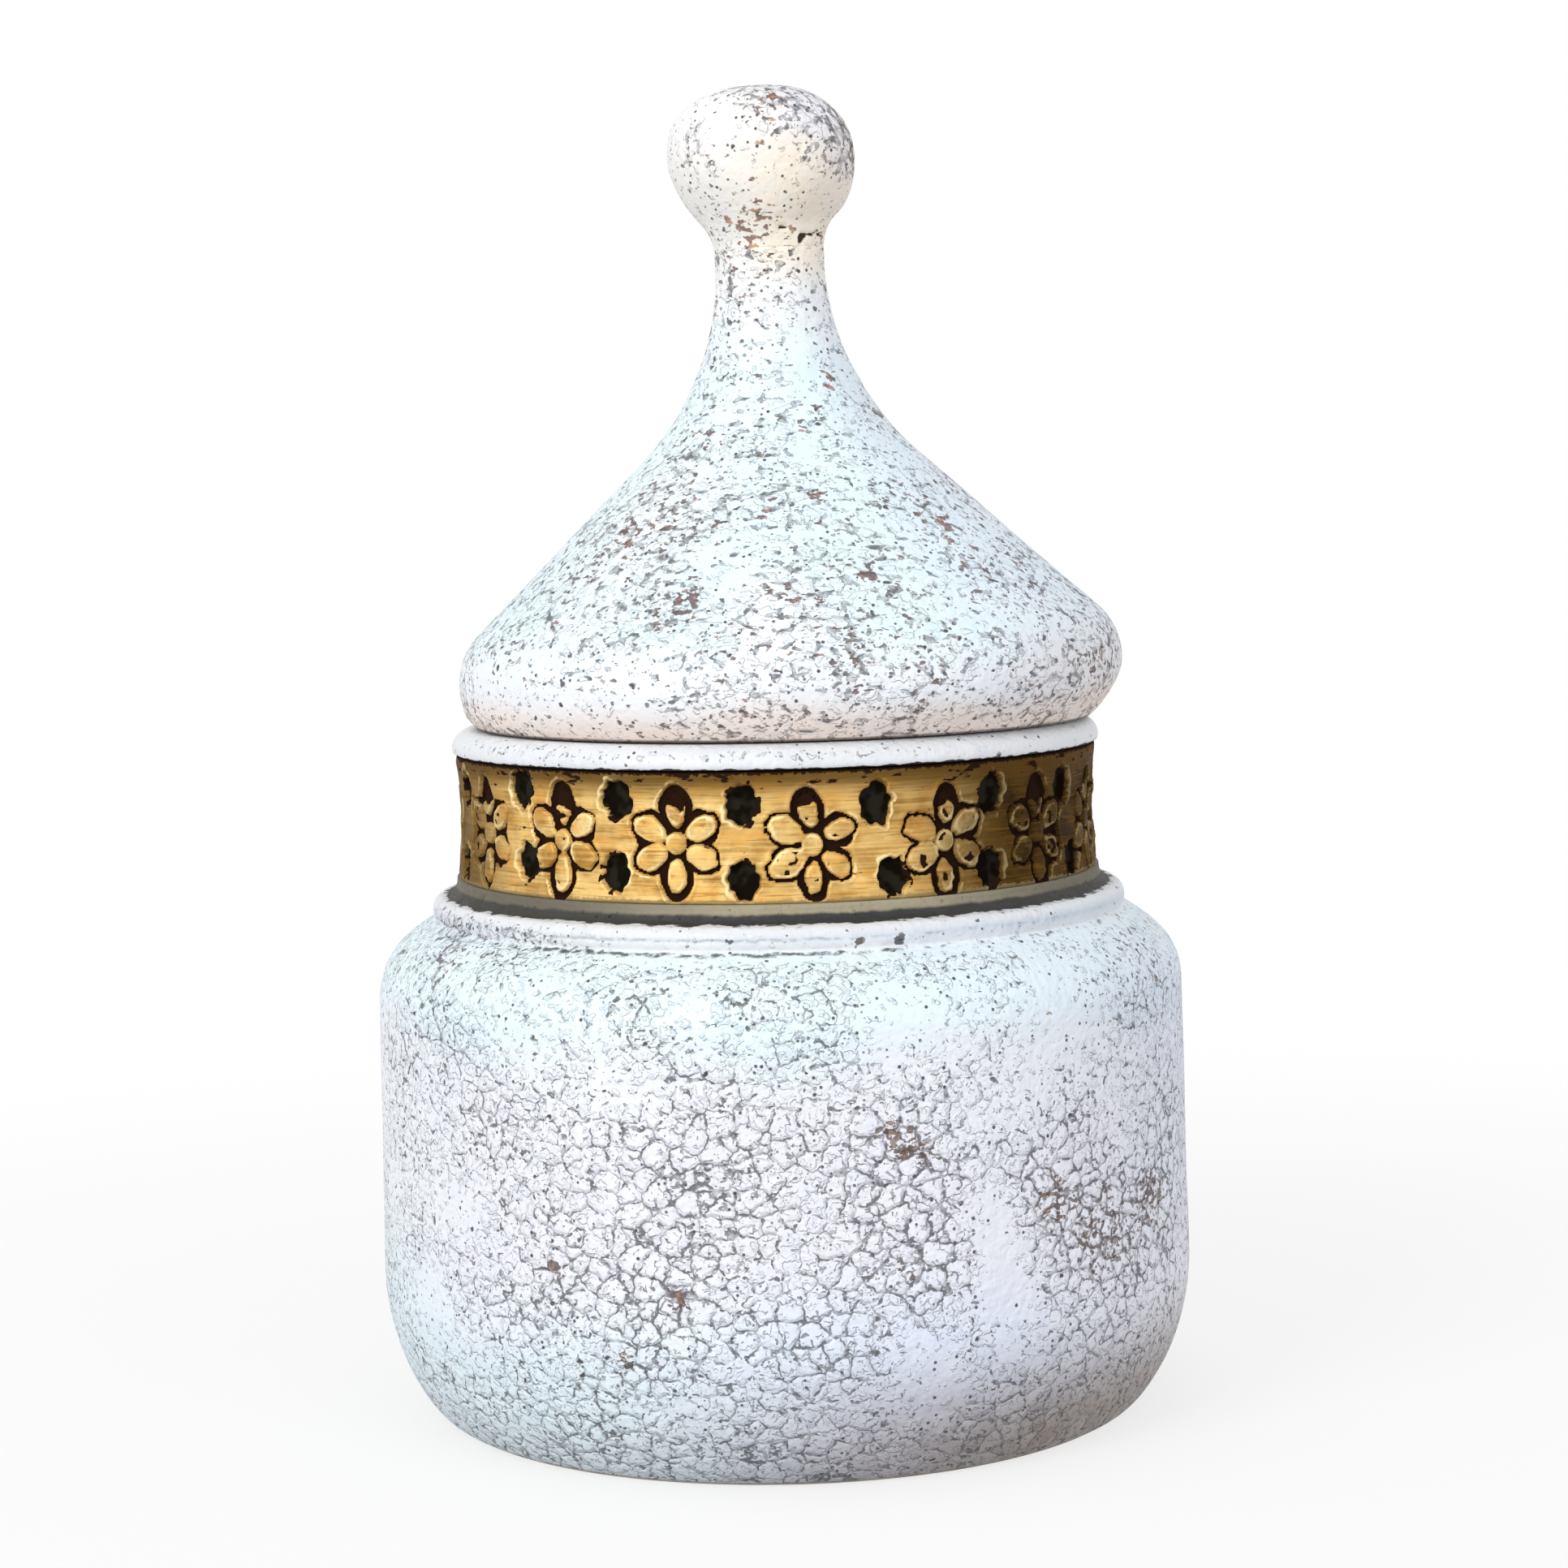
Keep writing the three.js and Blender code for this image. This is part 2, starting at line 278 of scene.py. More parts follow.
below_the_band = route(
    (POLE_GAP, FOOT_RECESS),
    [(FOOT_BORE - 1, FOOT_RECESS), 9],
    [(FOOT_BORE, GLAZE_EDGE), 0.9],
    [(FOOT_RADIUS, GLAZE_EDGE), 3.2],
    [(68.8, GLAZE_EDGE), (BELLY_RADIUS, 12.9), (BELLY_RADIUS, HEEL_HEIGHT), 1],
    [(SHOULDER_RADIUS, SHOULDER_HEIGHT), 1.1],
    [(76.6, 87.0), (73.0, 90.6), (BEAD_RADIUS, BEAD_HEIGHT), 0.5],
    [(66.5, 96.4), (66.0, 99.2), (LEDGE_RADIUS, LEDGE_HEIGHT), 0.35],
    [(61.9, 99.5), (61.3, 100.6), (NECK_RADIUS, SLIP_TOP - 0.1), 0.5],
)
channel_and_rim = route(
    (NECK_RADIUS, SLIP_TOP),
    [(CHANNEL_RADIUS, SLIP_TOP), 1.6],
    [(CHANNEL_RADIUS, BAND_HIGH), 6],
    [(61.0, BAND_HIGH), 1.5],
    [(61.8, BAND_HIGH), (62.1, 129.5), (SEAT_RADIUS, SEAT_HEIGHT), 0.45],
)
inside = route(
    (SEAT_RADIUS, SEAT_HEIGHT),
    [(MOUTH_RADIUS + MOUTH_ROUND, SEAT_HEIGHT), 1.3],
    [(MOUTH_RADIUS + 0.6, SEAT_HEIGHT), (MOUTH_RADIUS, SEAT_HEIGHT - 0.6),
     (MOUTH_RADIUS, SEAT_HEIGHT - MOUTH_ROUND), 0.5],
    [(MOUTH_RADIUS, BAND_LOW), 4.5],
    [(MOUTH_RADIUS, 95.0), (61.3, 91.7), (64.9, 89.0), 2.4],
    [(68.5, 87.1), (71.0, 83.9), (71.0, SHOULDER_HEIGHT), 2.4],
    [(INSIDE_RADIUS, HEEL_HEIGHT), 6],
    [(INSIDE_RADIUS, 17.4), (63.0, FLOOR_HEIGHT), (59.8, FLOOR_HEIGHT), 2.8],
    [(POLE_GAP, FLOOR_HEIGHT), 9],
)
pot_profile = np.vstack([below_the_band, channel_and_rim, inside, (POLE_GAP, FLOOR_HEIGHT)])
print("pot profile:", len(pot_profile), "points")

# %% [markdown]
# The potter's hand shows as a slow wander of the wall, about a fifth of a millimetre, and as two fine
# wheel lines, one low on the bead and one just under it. Both only move points in or out from the axis,
# so the jar's height and the places that other pieces touch stay exact.

# %% Make the pot
POT_COLUMNS = 400
WALL_WANDER = 0.22
WHEEL_LINES = (96.85, 94.4)
WHEEL_LINE_WIDTH = 0.36
WHEEL_LINE_DEPTH = 0.26


def breathe(grid, amount):
    """Moves each point out from the axis by `amount` mm, given for each point."""
    radius = np.hypot(grid[..., 0], grid[..., 1])
    grow = (radius + amount) / np.maximum(radius, 1e-6)
    return np.stack([grid[..., 0] * grow, grid[..., 1] * grow, grid[..., 2]], axis=-1)


pot_grid = turned(pot_profile, POT_COLUMNS)
height = pot_grid[..., 2]
free_wall = ease(3, 12, height) * (1 - ease(88, 95, height))
push = free_wall * WALL_WANDER * (wander(pot_grid, 34, 1) + 0.45 * wander(pot_grid, 11, 2))
angle = front_angle(pot_grid)
cut = 0.3 + 0.7 * ease(-52, -32, angle) * (1 - ease(0, 25, angle)) * (0.7 + 0.3 * wander(pot_grid, 5, 3))
for ring_height in WHEEL_LINES:
    off_line = height - ring_height - 0.15 * wander(pot_grid, 7, 4)
    push = push - WHEEL_LINE_DEPTH * cut * np.exp(-((off_line / WHEEL_LINE_WIDTH) ** 2))
is_outer = np.arange(len(pot_profile)) < len(below_the_band) + len(channel_and_rim)
pot_grid = breathe(pot_grid, push * is_outer)
pot = make_piece("pot", pot_grid, poles=[(0, 0, FOOT_RECESS), (0, 0, FLOOR_HEIGHT)])
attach(pot, "jar")
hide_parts("jar_body")

# %% [markdown]
# The foot is a skin of bare clay, 0.4 mm thick, which the jar stands on. Its edges are worn round, and
# it ends just below the glaze all the way. A bevel could round a plain ring, but the route of its
# section is only eight short legs, so it is drawn like the rest.

# %% Make the bare foot
CLAY_LOW = FOOT_RECESS - 0.45
CLAY_HIGH = FOOT_RECESS - 0.05
CLAY_POLE_GAP = 5
FOOT_COLUMNS = 220
foot_profile = np.vstack([route(
    (CLAY_POLE_GAP, CLAY_LOW),
    [(FOOT_BORE - 1.4, CLAY_LOW), 7],
    [(FOOT_BORE - 0.3, 0.25), 0.8],
    [(FOOT_BORE + 0.5, 0), 0.4],
    [(FOOT_RADIUS - 0.9, 0), 1.1],
    [(FOOT_RADIUS - 0.3, 0), (FOOT_RADIUS - 0.1, 0.1), (FOOT_RADIUS - 0.1, 0.4), 0.2],
    [(FOOT_BORE + 0.05, 0.4), 3],
    [(FOOT_BORE - 1.0, CLAY_HIGH), 0.9],
    [(CLAY_POLE_GAP, CLAY_HIGH), 9],
), (CLAY_POLE_GAP, CLAY_HIGH)])
foot_grid = turned(foot_profile, FOOT_COLUMNS)
foot_clay = make_piece("foot_clay", foot_grid, poles=[(0, 0, CLAY_LOW), (0, 0, CLAY_HIGH)])
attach(foot_clay, "jar")

# %% [markdown]
# The band is a strip of clay with flowers and deep round holes pressed into it by a stamp. Gold was
# brushed over it afterwards, so it sits on what stands proud and leaves the pressed lines dark. A
# sculpted or image-made relief would hide how it works, so here the stamp is a sum: for every point of
# a fine grid we ask how far it lies from the nearest petal, eye or hole, and turn that distance into
# a depth. The same distances later tell the material where the gold is missing.

# %% Stamp sizes
FLOWERS = 16
FLOWER_PITCH = 360 / FLOWERS
FIRST_FLOWER = -61.9
BAND_WAIST = 0.8
SIDE_PETAL = {"reach": 5.5, "length": 6.2, "width": 4.2, "tip_line": 0.34}
UPRIGHT_PETAL = {"reach": 5.8, "length": 6.2, "width": 3.7, "tip_line": 0.95}
EYE_RADIUS = 1.95
LINE_WIDTH = 1.35
THINNEST_LINE = 0.46
LINE_DEPTH = 1.05
PAD_HEIGHT = 0.26
LIP_HEIGHT = 0.18
SUNK_DEPTH = 0.85
PECK_DEPTH = 0.3
PIT_DEPTH = 1.75
PIT_HALF_WIDTH = 3.2
BURR_HEIGHT = 0.34

# %% Where each stamp landed
# Every stamp was set by hand. The lists give the six that face the front: degrees off the even place,
# height in mm, and for a hole the direction in which its burr was pushed (0 is right, 90 is up).
# The rest of the band follows with small random slips from a fixed seed.
hand = np.random.default_rng(7)


def all_round(front, middle, spread):
    """The given values for the front six, then seeded random ones about `middle` for the rest."""
    rest = middle + spread * hand.uniform(-1, 1, FLOWERS - len(front))
    return np.concatenate([front, rest])


flower_slip = all_round([0.0, -0.5, -0.5, 0.2, 1.6, 1.1], 0, 0.7)
flower_height = all_round([113.2, 113.3, 113.3, 112.8, 112.3, 112.0], 112.6, 0.5)
too_deep = all_round([0.8, 0.95, 0.5, 0.5, 0.55, 0.75], 0.6, 0.3)
torn = all_round([0.9, 0.5, 0.15, 0.6, 0.8, 1.0], 0.5, 0.4)
upper_pits = {
    "slip": all_round([1.0, 0.0, -0.4, 0.1, 0.1, -1.6], 0, 0.8),
    "height": all_round([122.2, 120.9, 119.9, 119.7, 119.9, 119.6], 120.4, 0.7),
    "burr": all_round([200, 170, 215, -15, 5, 10], 180, 170),
    "half_height": 3.9,
    "seed": 31,
}
lower_pits = {
    "slip": all_round([2.1, -0.3, -0.2, 2.7, -0.2, 2.1], 0, 1.0),
    "height": all_round([109.0, 108.0, 106.8, 106.7, 106.6, 105.8], 107.2, 0.8),
    "burr": all_round([185, 10, 195, 140, 20, 0], 180, 170),
    "half_height": 3.5,
    "seed": 32,
}
petal_turn = hand.uniform(-4, 4, (6, FLOWERS))
petal_size = 1 + hand.uniform(-0.1, 0.08, (6, FLOWERS))
petal_slip = hand.uniform(-0.3, 0.25, (6, FLOWERS))
# Each row is one flower, of the front six and then of their third to fifth, and each number is a
# petal, from the right one of the upper pair round by the top, the left and the bottom.
petal_slip[:, :6] = np.transpose([
    [0.15, 0.10, 0.10, 0.15, 0.05, 0.20],
    [0.02, 0.10, 0.08, -0.05, 0.12, -0.15],
    [0.02, 0.08, 0.00, -0.18, 0.10, -0.15],
    [0.10, 0.05, -0.25, -0.27, 0.10, 0.00],
    [0.12, 0.00, -0.22, -0.15, 0.15, -0.10],
    [0.00, 0.10, 0.10, -0.10, 0.12, 0.10],
])
petal_size[:, 2:5] = np.transpose([
    [1.00, 0.95, 1.06, 1.06, 0.95, 1.00],
    [0.88, 0.95, 1.12, 1.20, 0.86, 0.92],
    [0.95, 0.92, 1.08, 1.12, 0.92, 1.02],
])
petal_turn[:, 3] = [-4, 6, 0, 6, 2, -10]
print("flowers on the band:", len(flower_slip))


# %% The stamp as a sum
def from_nearest(angle, height, first, slips, heights):
    """How far a point lies from the nearest stamp, along the band and up, and that stamp's number."""
    number = np.round((angle - first) / FLOWER_PITCH).astype(int) % FLOWERS
    centre = first + number * FLOWER_PITCH + slips[number]
    apart = (angle - centre + 180) % 360 - 180
    return np.radians(apart) * NECK_RADIUS, height - heights[number], number


def flower_relief(angle, height, rough, patch):
    """Relief in mm, dark share and pale share of the flowers.

    A petal is an oval. Its edge distance is the oval's own length measure minus one, times half its
    width. Up to a line's width outside it the clay is pressed down, a low lip stands beyond that
    line, and inside the oval a pad stands up, one minus a falling power of e. The smallest distance
    of the six petals and the eye counts. `rough` tears the edges, most where the stamp tore the clay,
    and with `patch`, which changes more slowly, it widens the lines, pecks small dark holes into the
    pads and says where edges are rubbed pale. The pale share is a painted highlight as well, on the
    pads and the outer contour, stronger on the side that `lit_side` picks. Where the stamp went in too
    deep, the outer end of the top petal is sunk as well."""
    along_band, up, number = from_nearest(angle, height, FIRST_FLOWER, flower_slip, flower_height)
    nearest_edge = np.hypot(along_band, up) - EYE_RADIUS + 0.15 * rough
    in_line = nearest_edge / LINE_WIDTH
    beyond = nearest_edge - LINE_WIDTH
    sunk = np.zeros_like(in_line)
    for i, direction in enumerate(range(30, 390, 60)):
        petal = UPRIGHT_PETAL if direction in (90, 270) else SIDE_PETAL
        turned_by = np.radians(direction + petal_turn[i, number])
        slip = petal_slip[i, number]
        out = along_band * np.cos(turned_by) + up * np.sin(turned_by) - petal["reach"] - slip
        across = up * np.cos(turned_by) - along_band * np.sin(turned_by)
        half_width = petal["width"] / 2 * petal_size[i, number]
        tipward = out / (petal["length"] / 2 * petal_size[i, number])
        narrow = 1 - 0.1 * np.clip(tipward, -1, 1)
        edge = (np.hypot(tipward, across * narrow / half_width) - 1) * half_width
        edge = edge + (0.16 + 0.3 * torn[number]) * rough
        width = LINE_WIDTH + (petal["tip_line"] - LINE_WIDTH) * ease(0.2, 0.95, tipward)
        width = width * np.clip(0.92 + 1.7 * slip + 0.25 * rough + 0.3 * patch, 0.42, 1.6)
        width = np.maximum(width, THINNEST_LINE)
        if direction == 90:
            sunk = ease(0.95, 1.25, tipward + 1.5 * too_deep[number] + 0.35 * rough) * (edge < 0.1)
        nearest_edge = np.minimum(nearest_edge, edge)
        in_line = np.minimum(in_line, edge / width)
        beyond = np.minimum(beyond, edge - width)
    line_share = ease(-0.05, 0.18, in_line) * (1 - ease(0.85, 1.05, in_line))
    pad = PAD_HEIGHT * (1 - np.exp(np.minimum(nearest_edge, 0) / 0.4)) - 0.05
    lip = LIP_HEIGHT * np.exp(-((beyond - 0.35) / 0.3) ** 2)
    pecked = (0.3 + 0.6 * torn[number]) * ease(0.5, 0.68, rough + 0.3 * patch)
    pecked = pecked * ease(0.25, 0.5, -nearest_edge)
    relief = np.where(nearest_edge < 0, pad, lip) - LINE_DEPTH * line_share - SUNK_DEPTH * sunk
    relief = relief - PECK_DEPTH * pecked
    dark = np.maximum(np.maximum(line_share, sunk), pecked)
    rim = np.exp(-((nearest_edge + 0.3) / 0.2) ** 2) * np.clip(0.5 + 0.6 * rough + 1.1 * patch, 0, 1.2)
    # Painted highlight with wear: pads and the outer contour are made pale, most on the lit side.
    lit_side = ease(-3, 5, along_band * np.sign(angle + 8))
    outer = np.exp(-((beyond - 0.3) / 0.22) ** 2) * ease(-0.5, 0.3, rough + 0.5 * patch)
    pale = rim + (0.22 + 0.3 * patch) * ease(0.1, 0.6, -nearest_edge) + (0.25 + 0.55 * lit_side) * outer
    return relief, dark, pale * (1 - dark)


def pit_relief(angle, height, rough, row):
    """Relief in mm, hole share, burr share and splash share of one row of holes.

    A hole is an oval whose outline waves in and out with three cosines of the direction, each with
    a random start for each hole, and is torn by the same roughness as the petals. Inside it the clay
    drops. A burr stands up round it, high where the punch pushed the clay and gone opposite, and
    just outside it dark slip shows in the roughest places."""
    first = FIRST_FLOWER + FLOWER_PITCH / 2
    along_band, up, number = from_nearest(angle, height, first, row["slip"], row["height"])
    start = np.random.default_rng(row["seed"]).uniform(0, 2 * np.pi, (3, FLOWERS))[:, number]
    direction = np.arctan2(up, along_band)
    wave = 0.06 * np.cos(2 * direction + start[0]) + 0.05 * np.cos(5 * direction + start[1])
    wave = wave + 0.05 * np.cos(9 * direction + start[2])
    reach = np.hypot(along_band / PIT_HALF_WIDTH, up / row["half_height"]) / (1 + wave) + 0.13 * rough
    hole = 1 - ease(0.82, 1.0, reach)
    facing = (0.5 + 0.5 * np.cos(direction - np.radians(row["burr"][number]))) ** 2
    burr = np.exp(-((reach - 1.06 + 0.04 * rough) / 0.11) ** 2) * facing
    splash = ease(0.1, 0.5, rough) * (1 - ease(1.12, 1.34, reach)) * (1 - facing)
    return BURR_HEIGHT * burr - PIT_DEPTH * hole, hole, burr, splash


# %% [markdown]
# The grid has a point every third of a millimetre, about as fine as the photograph shows. Behind the
# stamped face the strip is closed by plain inner rows, so it stays a solid ring in its channel.

# %% Make the band
BAND_COLUMNS = 1190
FACE_ROWS = 79
GAP = 0.3
BAND_INSET = 0.35
CORNER_ROUND = 0.3
face_low = BAND_LOW + GAP
face_high = BAND_HIGH - GAP
share_up = np.linspace(0, 1, FACE_ROWS)
waist = 4 * BAND_WAIST * share_up * (1 - share_up)
rounded = CORNER_ROUND * (np.exp(-share_up * 60) + np.exp(-(1 - share_up) * 60))
face_radius = NECK_RADIUS - BAND_INSET - waist - rounded
face = np.stack([face_radius, face_low + (face_high - face_low) * share_up], axis=1)
back_radius = CHANNEL_RADIUS + GAP
back = np.array([[back_radius, face_high], [back_radius, 114.0], [back_radius, face_low]])
band_grid = turned(np.vstack([face, back]), BAND_COLUMNS)
face_points = band_grid[:, :FACE_ROWS]
angle = front_angle(face_points)
height = face_points[..., 2]
rough = wander(face_points, 1.7, 5) + 0.6 * wander(face_points, 0.8, 6)
patch = wander(face_points, 3.1, 8)

flower_mm, flower_dark, flower_pale = flower_relief(angle, height, rough, patch)
upper_mm, *upper_marks = pit_relief(angle, height, rough, upper_pits)
lower_mm, *lower_marks = pit_relief(angle, height, rough, lower_pits)
hole, burr, splash = np.maximum(upper_marks, lower_marks)
hand_waves = 0.07 * wander(face_points, 4, 9) + 0.03 * rough
relief = flower_mm * (1 - hole) + upper_mm + lower_mm + hand_waves
edge_fade = ease(0, 0.04, share_up) * ease(0, 0.04, 1 - share_up)
band_grid[:, :FACE_ROWS] = breathe(face_points, np.maximum(relief, -PIT_DEPTH) * edge_fade)
gold_band = make_piece("gold_band", band_grid, ring=True)
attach(gold_band, "jar")
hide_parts("neck_band")

# %% Where the gold is missing or pale, and where it is painted in shade with some tarnish
face_dark = np.maximum(np.maximum(flower_dark, hole), splash)
face_pale = np.clip(np.maximum(flower_pale, burr), 0, 1) * (1 - face_dark)
# Painted shade with tarnish: the gold darkens towards the right and the far left, where less light falls
# on it, and a slow random tarnish lies over that.
right_side = 1.25 * ease(4, 58, angle) * (1 - ease(120, 165, angle))
left_side = 0.8 * ease(-46, -68, angle) * (1 - ease(-100, -140, angle))
shade_and_tarnish = np.clip(right_side + left_side + 0.18 * wander(face_points, 12, 10), 0, 1.3)
back_rows = np.zeros((BAND_COLUMNS, len(back)))
paint(gold_band, "bare", np.hstack([face_dark, back_rows + 1]).ravel())
for name, values in {"pale": face_pale, "hole": hole, "shade_and_tarnish": shade_and_tarnish}.items():
    paint(gold_band, name, np.hstack([values, back_rows]).ravel())
print("share of the band that the gold leaves dark:", round(float(face_dark.mean()), 3))

# %% [markdown]
# The lid was thrown as a cone with a rounded edge, and its stem sagged a little to one side before the
# firing. The sag is a formula too: above the edge, points move sideways by a fixed shift less the
# tangent of the lean times their height, and up or down by that tangent times their distance from the
# axis, as in a small turn.

# %% Lid sizes and the lean
LID_OFFSET = 1.75
LID_HEIGHT = 130.9
LID_FOOT_RADIUS = 58.4
LID_WALL = 5.5
EDGE_ROUND = 12.6
EDGE_CENTRE = 50.4
EDGE_HEIGHT = 9.73
SLOPE = math.radians(43.2)
FLARE_RADIUS = 26.5
STEM_RADIUS = 10.35
STEM_TOP = 88.95
JOINT_HEIGHT = 89.0
RING_BORE = 46.0
HOLLOW_TOP = 9
HOLLOW_EDGE = 54.0
SLUMP_SHIFT = 1.7
SLUMP_START = 7.7
LEAN = math.tan(math.radians(1.57))
slope_radius = EDGE_CENTRE + EDGE_ROUND * math.sin(SLOPE)
slope_height = EDGE_HEIGHT + EDGE_ROUND * math.cos(SLOPE)


def slope_at(radius, depth=0):
    """Height of the cone at a radius, moved inwards by a depth square to it."""
    return slope_height + (slope_radius - radius) * math.tan(SLOPE) - depth / math.cos(SLOPE)


def leaned(grid, shift_x=0):
    """Moves the lid's points by the lean, then to the lid's place on the jar."""
    x, y, z = grid[..., 0], grid[..., 1], grid[..., 2]
    share = ease(0, SLUMP_START, z)
    new_x = x + share * (SLUMP_SHIFT - LEAN * z)
    new_z = z + share * LEAN * x
    return np.stack([new_x + LID_OFFSET + shift_x, y, new_z + LID_HEIGHT], axis=-1)


# %% Make the lid's cone
CONE_COLUMNS = 480
UNDERSIDE_ROWS = 5
edge_angles = np.radians(np.linspace(-50.4, 46.8, 26))[:, None]
edge_arc = (EDGE_CENTRE, EDGE_HEIGHT) + EDGE_ROUND * np.hstack([np.cos(edge_angles), np.sin(edge_angles)])
corner = slope_at(STEM_RADIUS)
cone_profile = np.vstack([
    route((RING_BORE, 0), [(LID_FOOT_RADIUS, 0), 2.5]),
    edge_arc[:-1],
    route(
        edge_arc[-1],
        [(FLARE_RADIUS, slope_at(FLARE_RADIUS)), 1],
        [(16.1, slope_at(16.1)), (STEM_RADIUS, corner + 8.0), (STEM_RADIUS, corner + 22.1), 0.9],
        [(STEM_RADIUS, JOINT_HEIGHT - 0.3), 0.8],
        [(STEM_RADIUS, JOINT_HEIGHT - 0.15), (9.8, STEM_TOP), (9.2, STEM_TOP), 0.3],
        [(3, STEM_TOP), 2],
    ),
    (3, STEM_TOP),
])
hollow_top = slope_at(HOLLOW_TOP, LID_WALL)
hollow_profile = route(
    (3, hollow_top),
    [(HOLLOW_TOP, hollow_top - 1), 3],
    [(18, slope_at(18, LID_WALL)), 4],
    [(HOLLOW_EDGE, slope_at(HOLLOW_EDGE, LID_WALL)), 4],
    [(HOLLOW_EDGE, 8.5), (52.0, 5.0), (RING_BORE, 3.2), 2.2],
    [(RING_BORE, 0), 1.6],
)
cone_grid = turned(np.vstack([hollow_profile, cone_profile]), CONE_COLUMNS)
is_outer = np.arange(cone_grid.shape[1]) >= len(hollow_profile) + UNDERSIDE_ROWS
height = cone_grid[..., 2]
fade = ease(2, 9, height) * (1 - ease(82, 88, height))
push = fade * (0.26 * wander(cone_grid, 24, 11) + 0.12 * wander(cone_grid, 8, 12))
cone_grid = leaned(breathe(cone_grid, push * is_outer))
poles = [leaned(np.array([0, 0, z])) for z in (hollow_top, STEM_TOP)]
lid_cone = make_piece("lid_cone", cone_grid, poles=poles)
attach(lid_cone, "lid")
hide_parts("lid_dome")

# %% [markdown]
# A ring under the lid drops into the jar's mouth and keeps the lid in its place. It is the part that
# rubs, so it is left as bare clay. Its corners are worn round.

# %% Make the lid's ring
RING_RADIUS = 50.4
RING_DEPTH = 11.0
RING_COLUMNS = 360
ring_profile = route(
    (RING_BORE, 0),
    [(RING_BORE, 1.4 - RING_DEPTH), 1.6],
    [(RING_BORE, 0.3 - RING_DEPTH), (RING_BORE + 0.4, -RING_DEPTH), (RING_BORE + 1.5, -RING_DEPTH), 0.3],
    [(RING_RADIUS - 1.5, -RING_DEPTH), 0.7],
    [(RING_RADIUS - 0.4, -RING_DEPTH), (RING_RADIUS, 0.3 - RING_DEPTH),
     (RING_RADIUS, 1.4 - RING_DEPTH), 0.3],
    [(RING_RADIUS, 0), 0.8],
    [(RING_BORE, 0), 2.2],
)
ring_grid = turned(ring_profile, RING_COLUMNS)
lower_part = ease(0, 3, -ring_grid[..., 2])
ring_grid = breathe(ring_grid, lower_part * (0.1 * wander(ring_grid, 14, 21) - 0.06))
lid_ring = make_piece("lid_ring", ring_grid + (LID_OFFSET, 0, LID_HEIGHT), ring=True)
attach(lid_ring, "lid")
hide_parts("lid_flange")

# %% [markdown]
# The knob is a ball of clay pulled by hand into the stem. On its left the two run together in one
# smooth taper, while on its right the ball hangs over the stem and a crease is left. So the knob has
# two profiles with the same number of points, one for each side, and every column takes a blend of
# them by its direction: all of the left one at the left, all of the right one at the right.

# %% Knob profiles
KNOB_SHIFT = -0.5
KNOB_LOW = JOINT_HEIGHT - 0.4
KNOB_MIDDLE = 106.9
KNOB_TOP = 119.2
KNOB_RADIUS = 17.75
KNOB_ROWS = 96
CROWN_GAP = 1.5


def knob_side(*legs):
    """One side's profile, out of the stem and over the crown, as KNOB_ROWS evenly spaced points."""
    path = np.vstack([route(
        (STEM_RADIUS - 0.04, KNOB_LOW),
        [(STEM_RADIUS + 0.02, JOINT_HEIGHT + 0.3), 0.35],
        *legs,
        [(KNOB_RADIUS, KNOB_MIDDLE + 8.2), (11.8, KNOB_TOP), (CROWN_GAP, KNOB_TOP), 0.4],
    ), (CROWN_GAP, KNOB_TOP)])
    return at_distances(path, np.linspace(0, distances(path)[-1], KNOB_ROWS))


left_side = knob_side(
    [(STEM_RADIUS + 0.5, JOINT_HEIGHT + 4.2), (KNOB_RADIUS, JOINT_HEIGHT + 9.2),
     (KNOB_RADIUS, KNOB_MIDDLE), 0.4],
)
right_side = knob_side(
    [(STEM_RADIUS + 0.4, JOINT_HEIGHT + 2.6), (STEM_RADIUS + 0.9, JOINT_HEIGHT + 4.2),
     (STEM_RADIUS + 2.4, JOINT_HEIGHT + 5.6), 0.4],
    [(STEM_RADIUS + 5.9, JOINT_HEIGHT + 8.4), (KNOB_RADIUS, JOINT_HEIGHT + 12.0),
     (KNOB_RADIUS, KNOB_MIDDLE), 0.4],
)
print("knob rows:", len(left_side), len(right_side))

# %% [markdown]
# The crease opened into a crack when the clay dried: a ragged slit that runs to the right from a small
# three-cornered hole. It is pressed into the mesh where the photograph shows it, by a distance again:
# how far a point lies above or below the slit's line, measured against the slit's width there.

# %% Make the knob
KNOB_COLUMNS = 420
CRACK_FROM = 31
CRACK_TO = 96
CRACK_DEPTH = 1.1
DENT_DEPTH = 1.25
knob_angle = np.arange(KNOB_COLUMNS) * 2 * np.pi / KNOB_COLUMNS
rightness = ease(-0.55, 0.85, np.sin(knob_angle))[:, None, None]
side = left_side * (1 - rightness) + right_side * rightness
under = line((3, KNOB_LOW), (STEM_RADIUS - 0.1, KNOB_LOW), 1.8)
knob_grid = np.hstack([turned(under, KNOB_COLUMNS), turned(side, KNOB_COLUMNS)])
height = knob_grid[..., 2]
fade = ease(JOINT_HEIGHT + 0.5, JOINT_HEIGHT + 5, height)
push = fade * (0.5 * wander(knob_grid, 13, 41) + 0.2 * wander(knob_grid, 5, 42))
push = push - DENT_DEPTH * near(knob_grid, 82, KNOB_MIDDLE + 8, 6.5)
angle = front_angle(knob_grid)
rough = wander(knob_grid, 1.5, 43)
crack_line = JOINT_HEIGHT + 1.25 + 0.9 * ease(CRACK_FROM, 75, angle) + 0.5 * rough
along = ease(CRACK_FROM, CRACK_FROM + 3, angle) * (1 - ease(CRACK_TO - 22, CRACK_TO, angle))
half_gap = 0.19 + 1.0 * np.exp(-((angle - CRACK_FROM - 5) / 5.5) ** 2) + 0.1 * rough
crack = along * (1 - ease(0.6, 1.15, np.abs(height - crack_line) / half_gap))
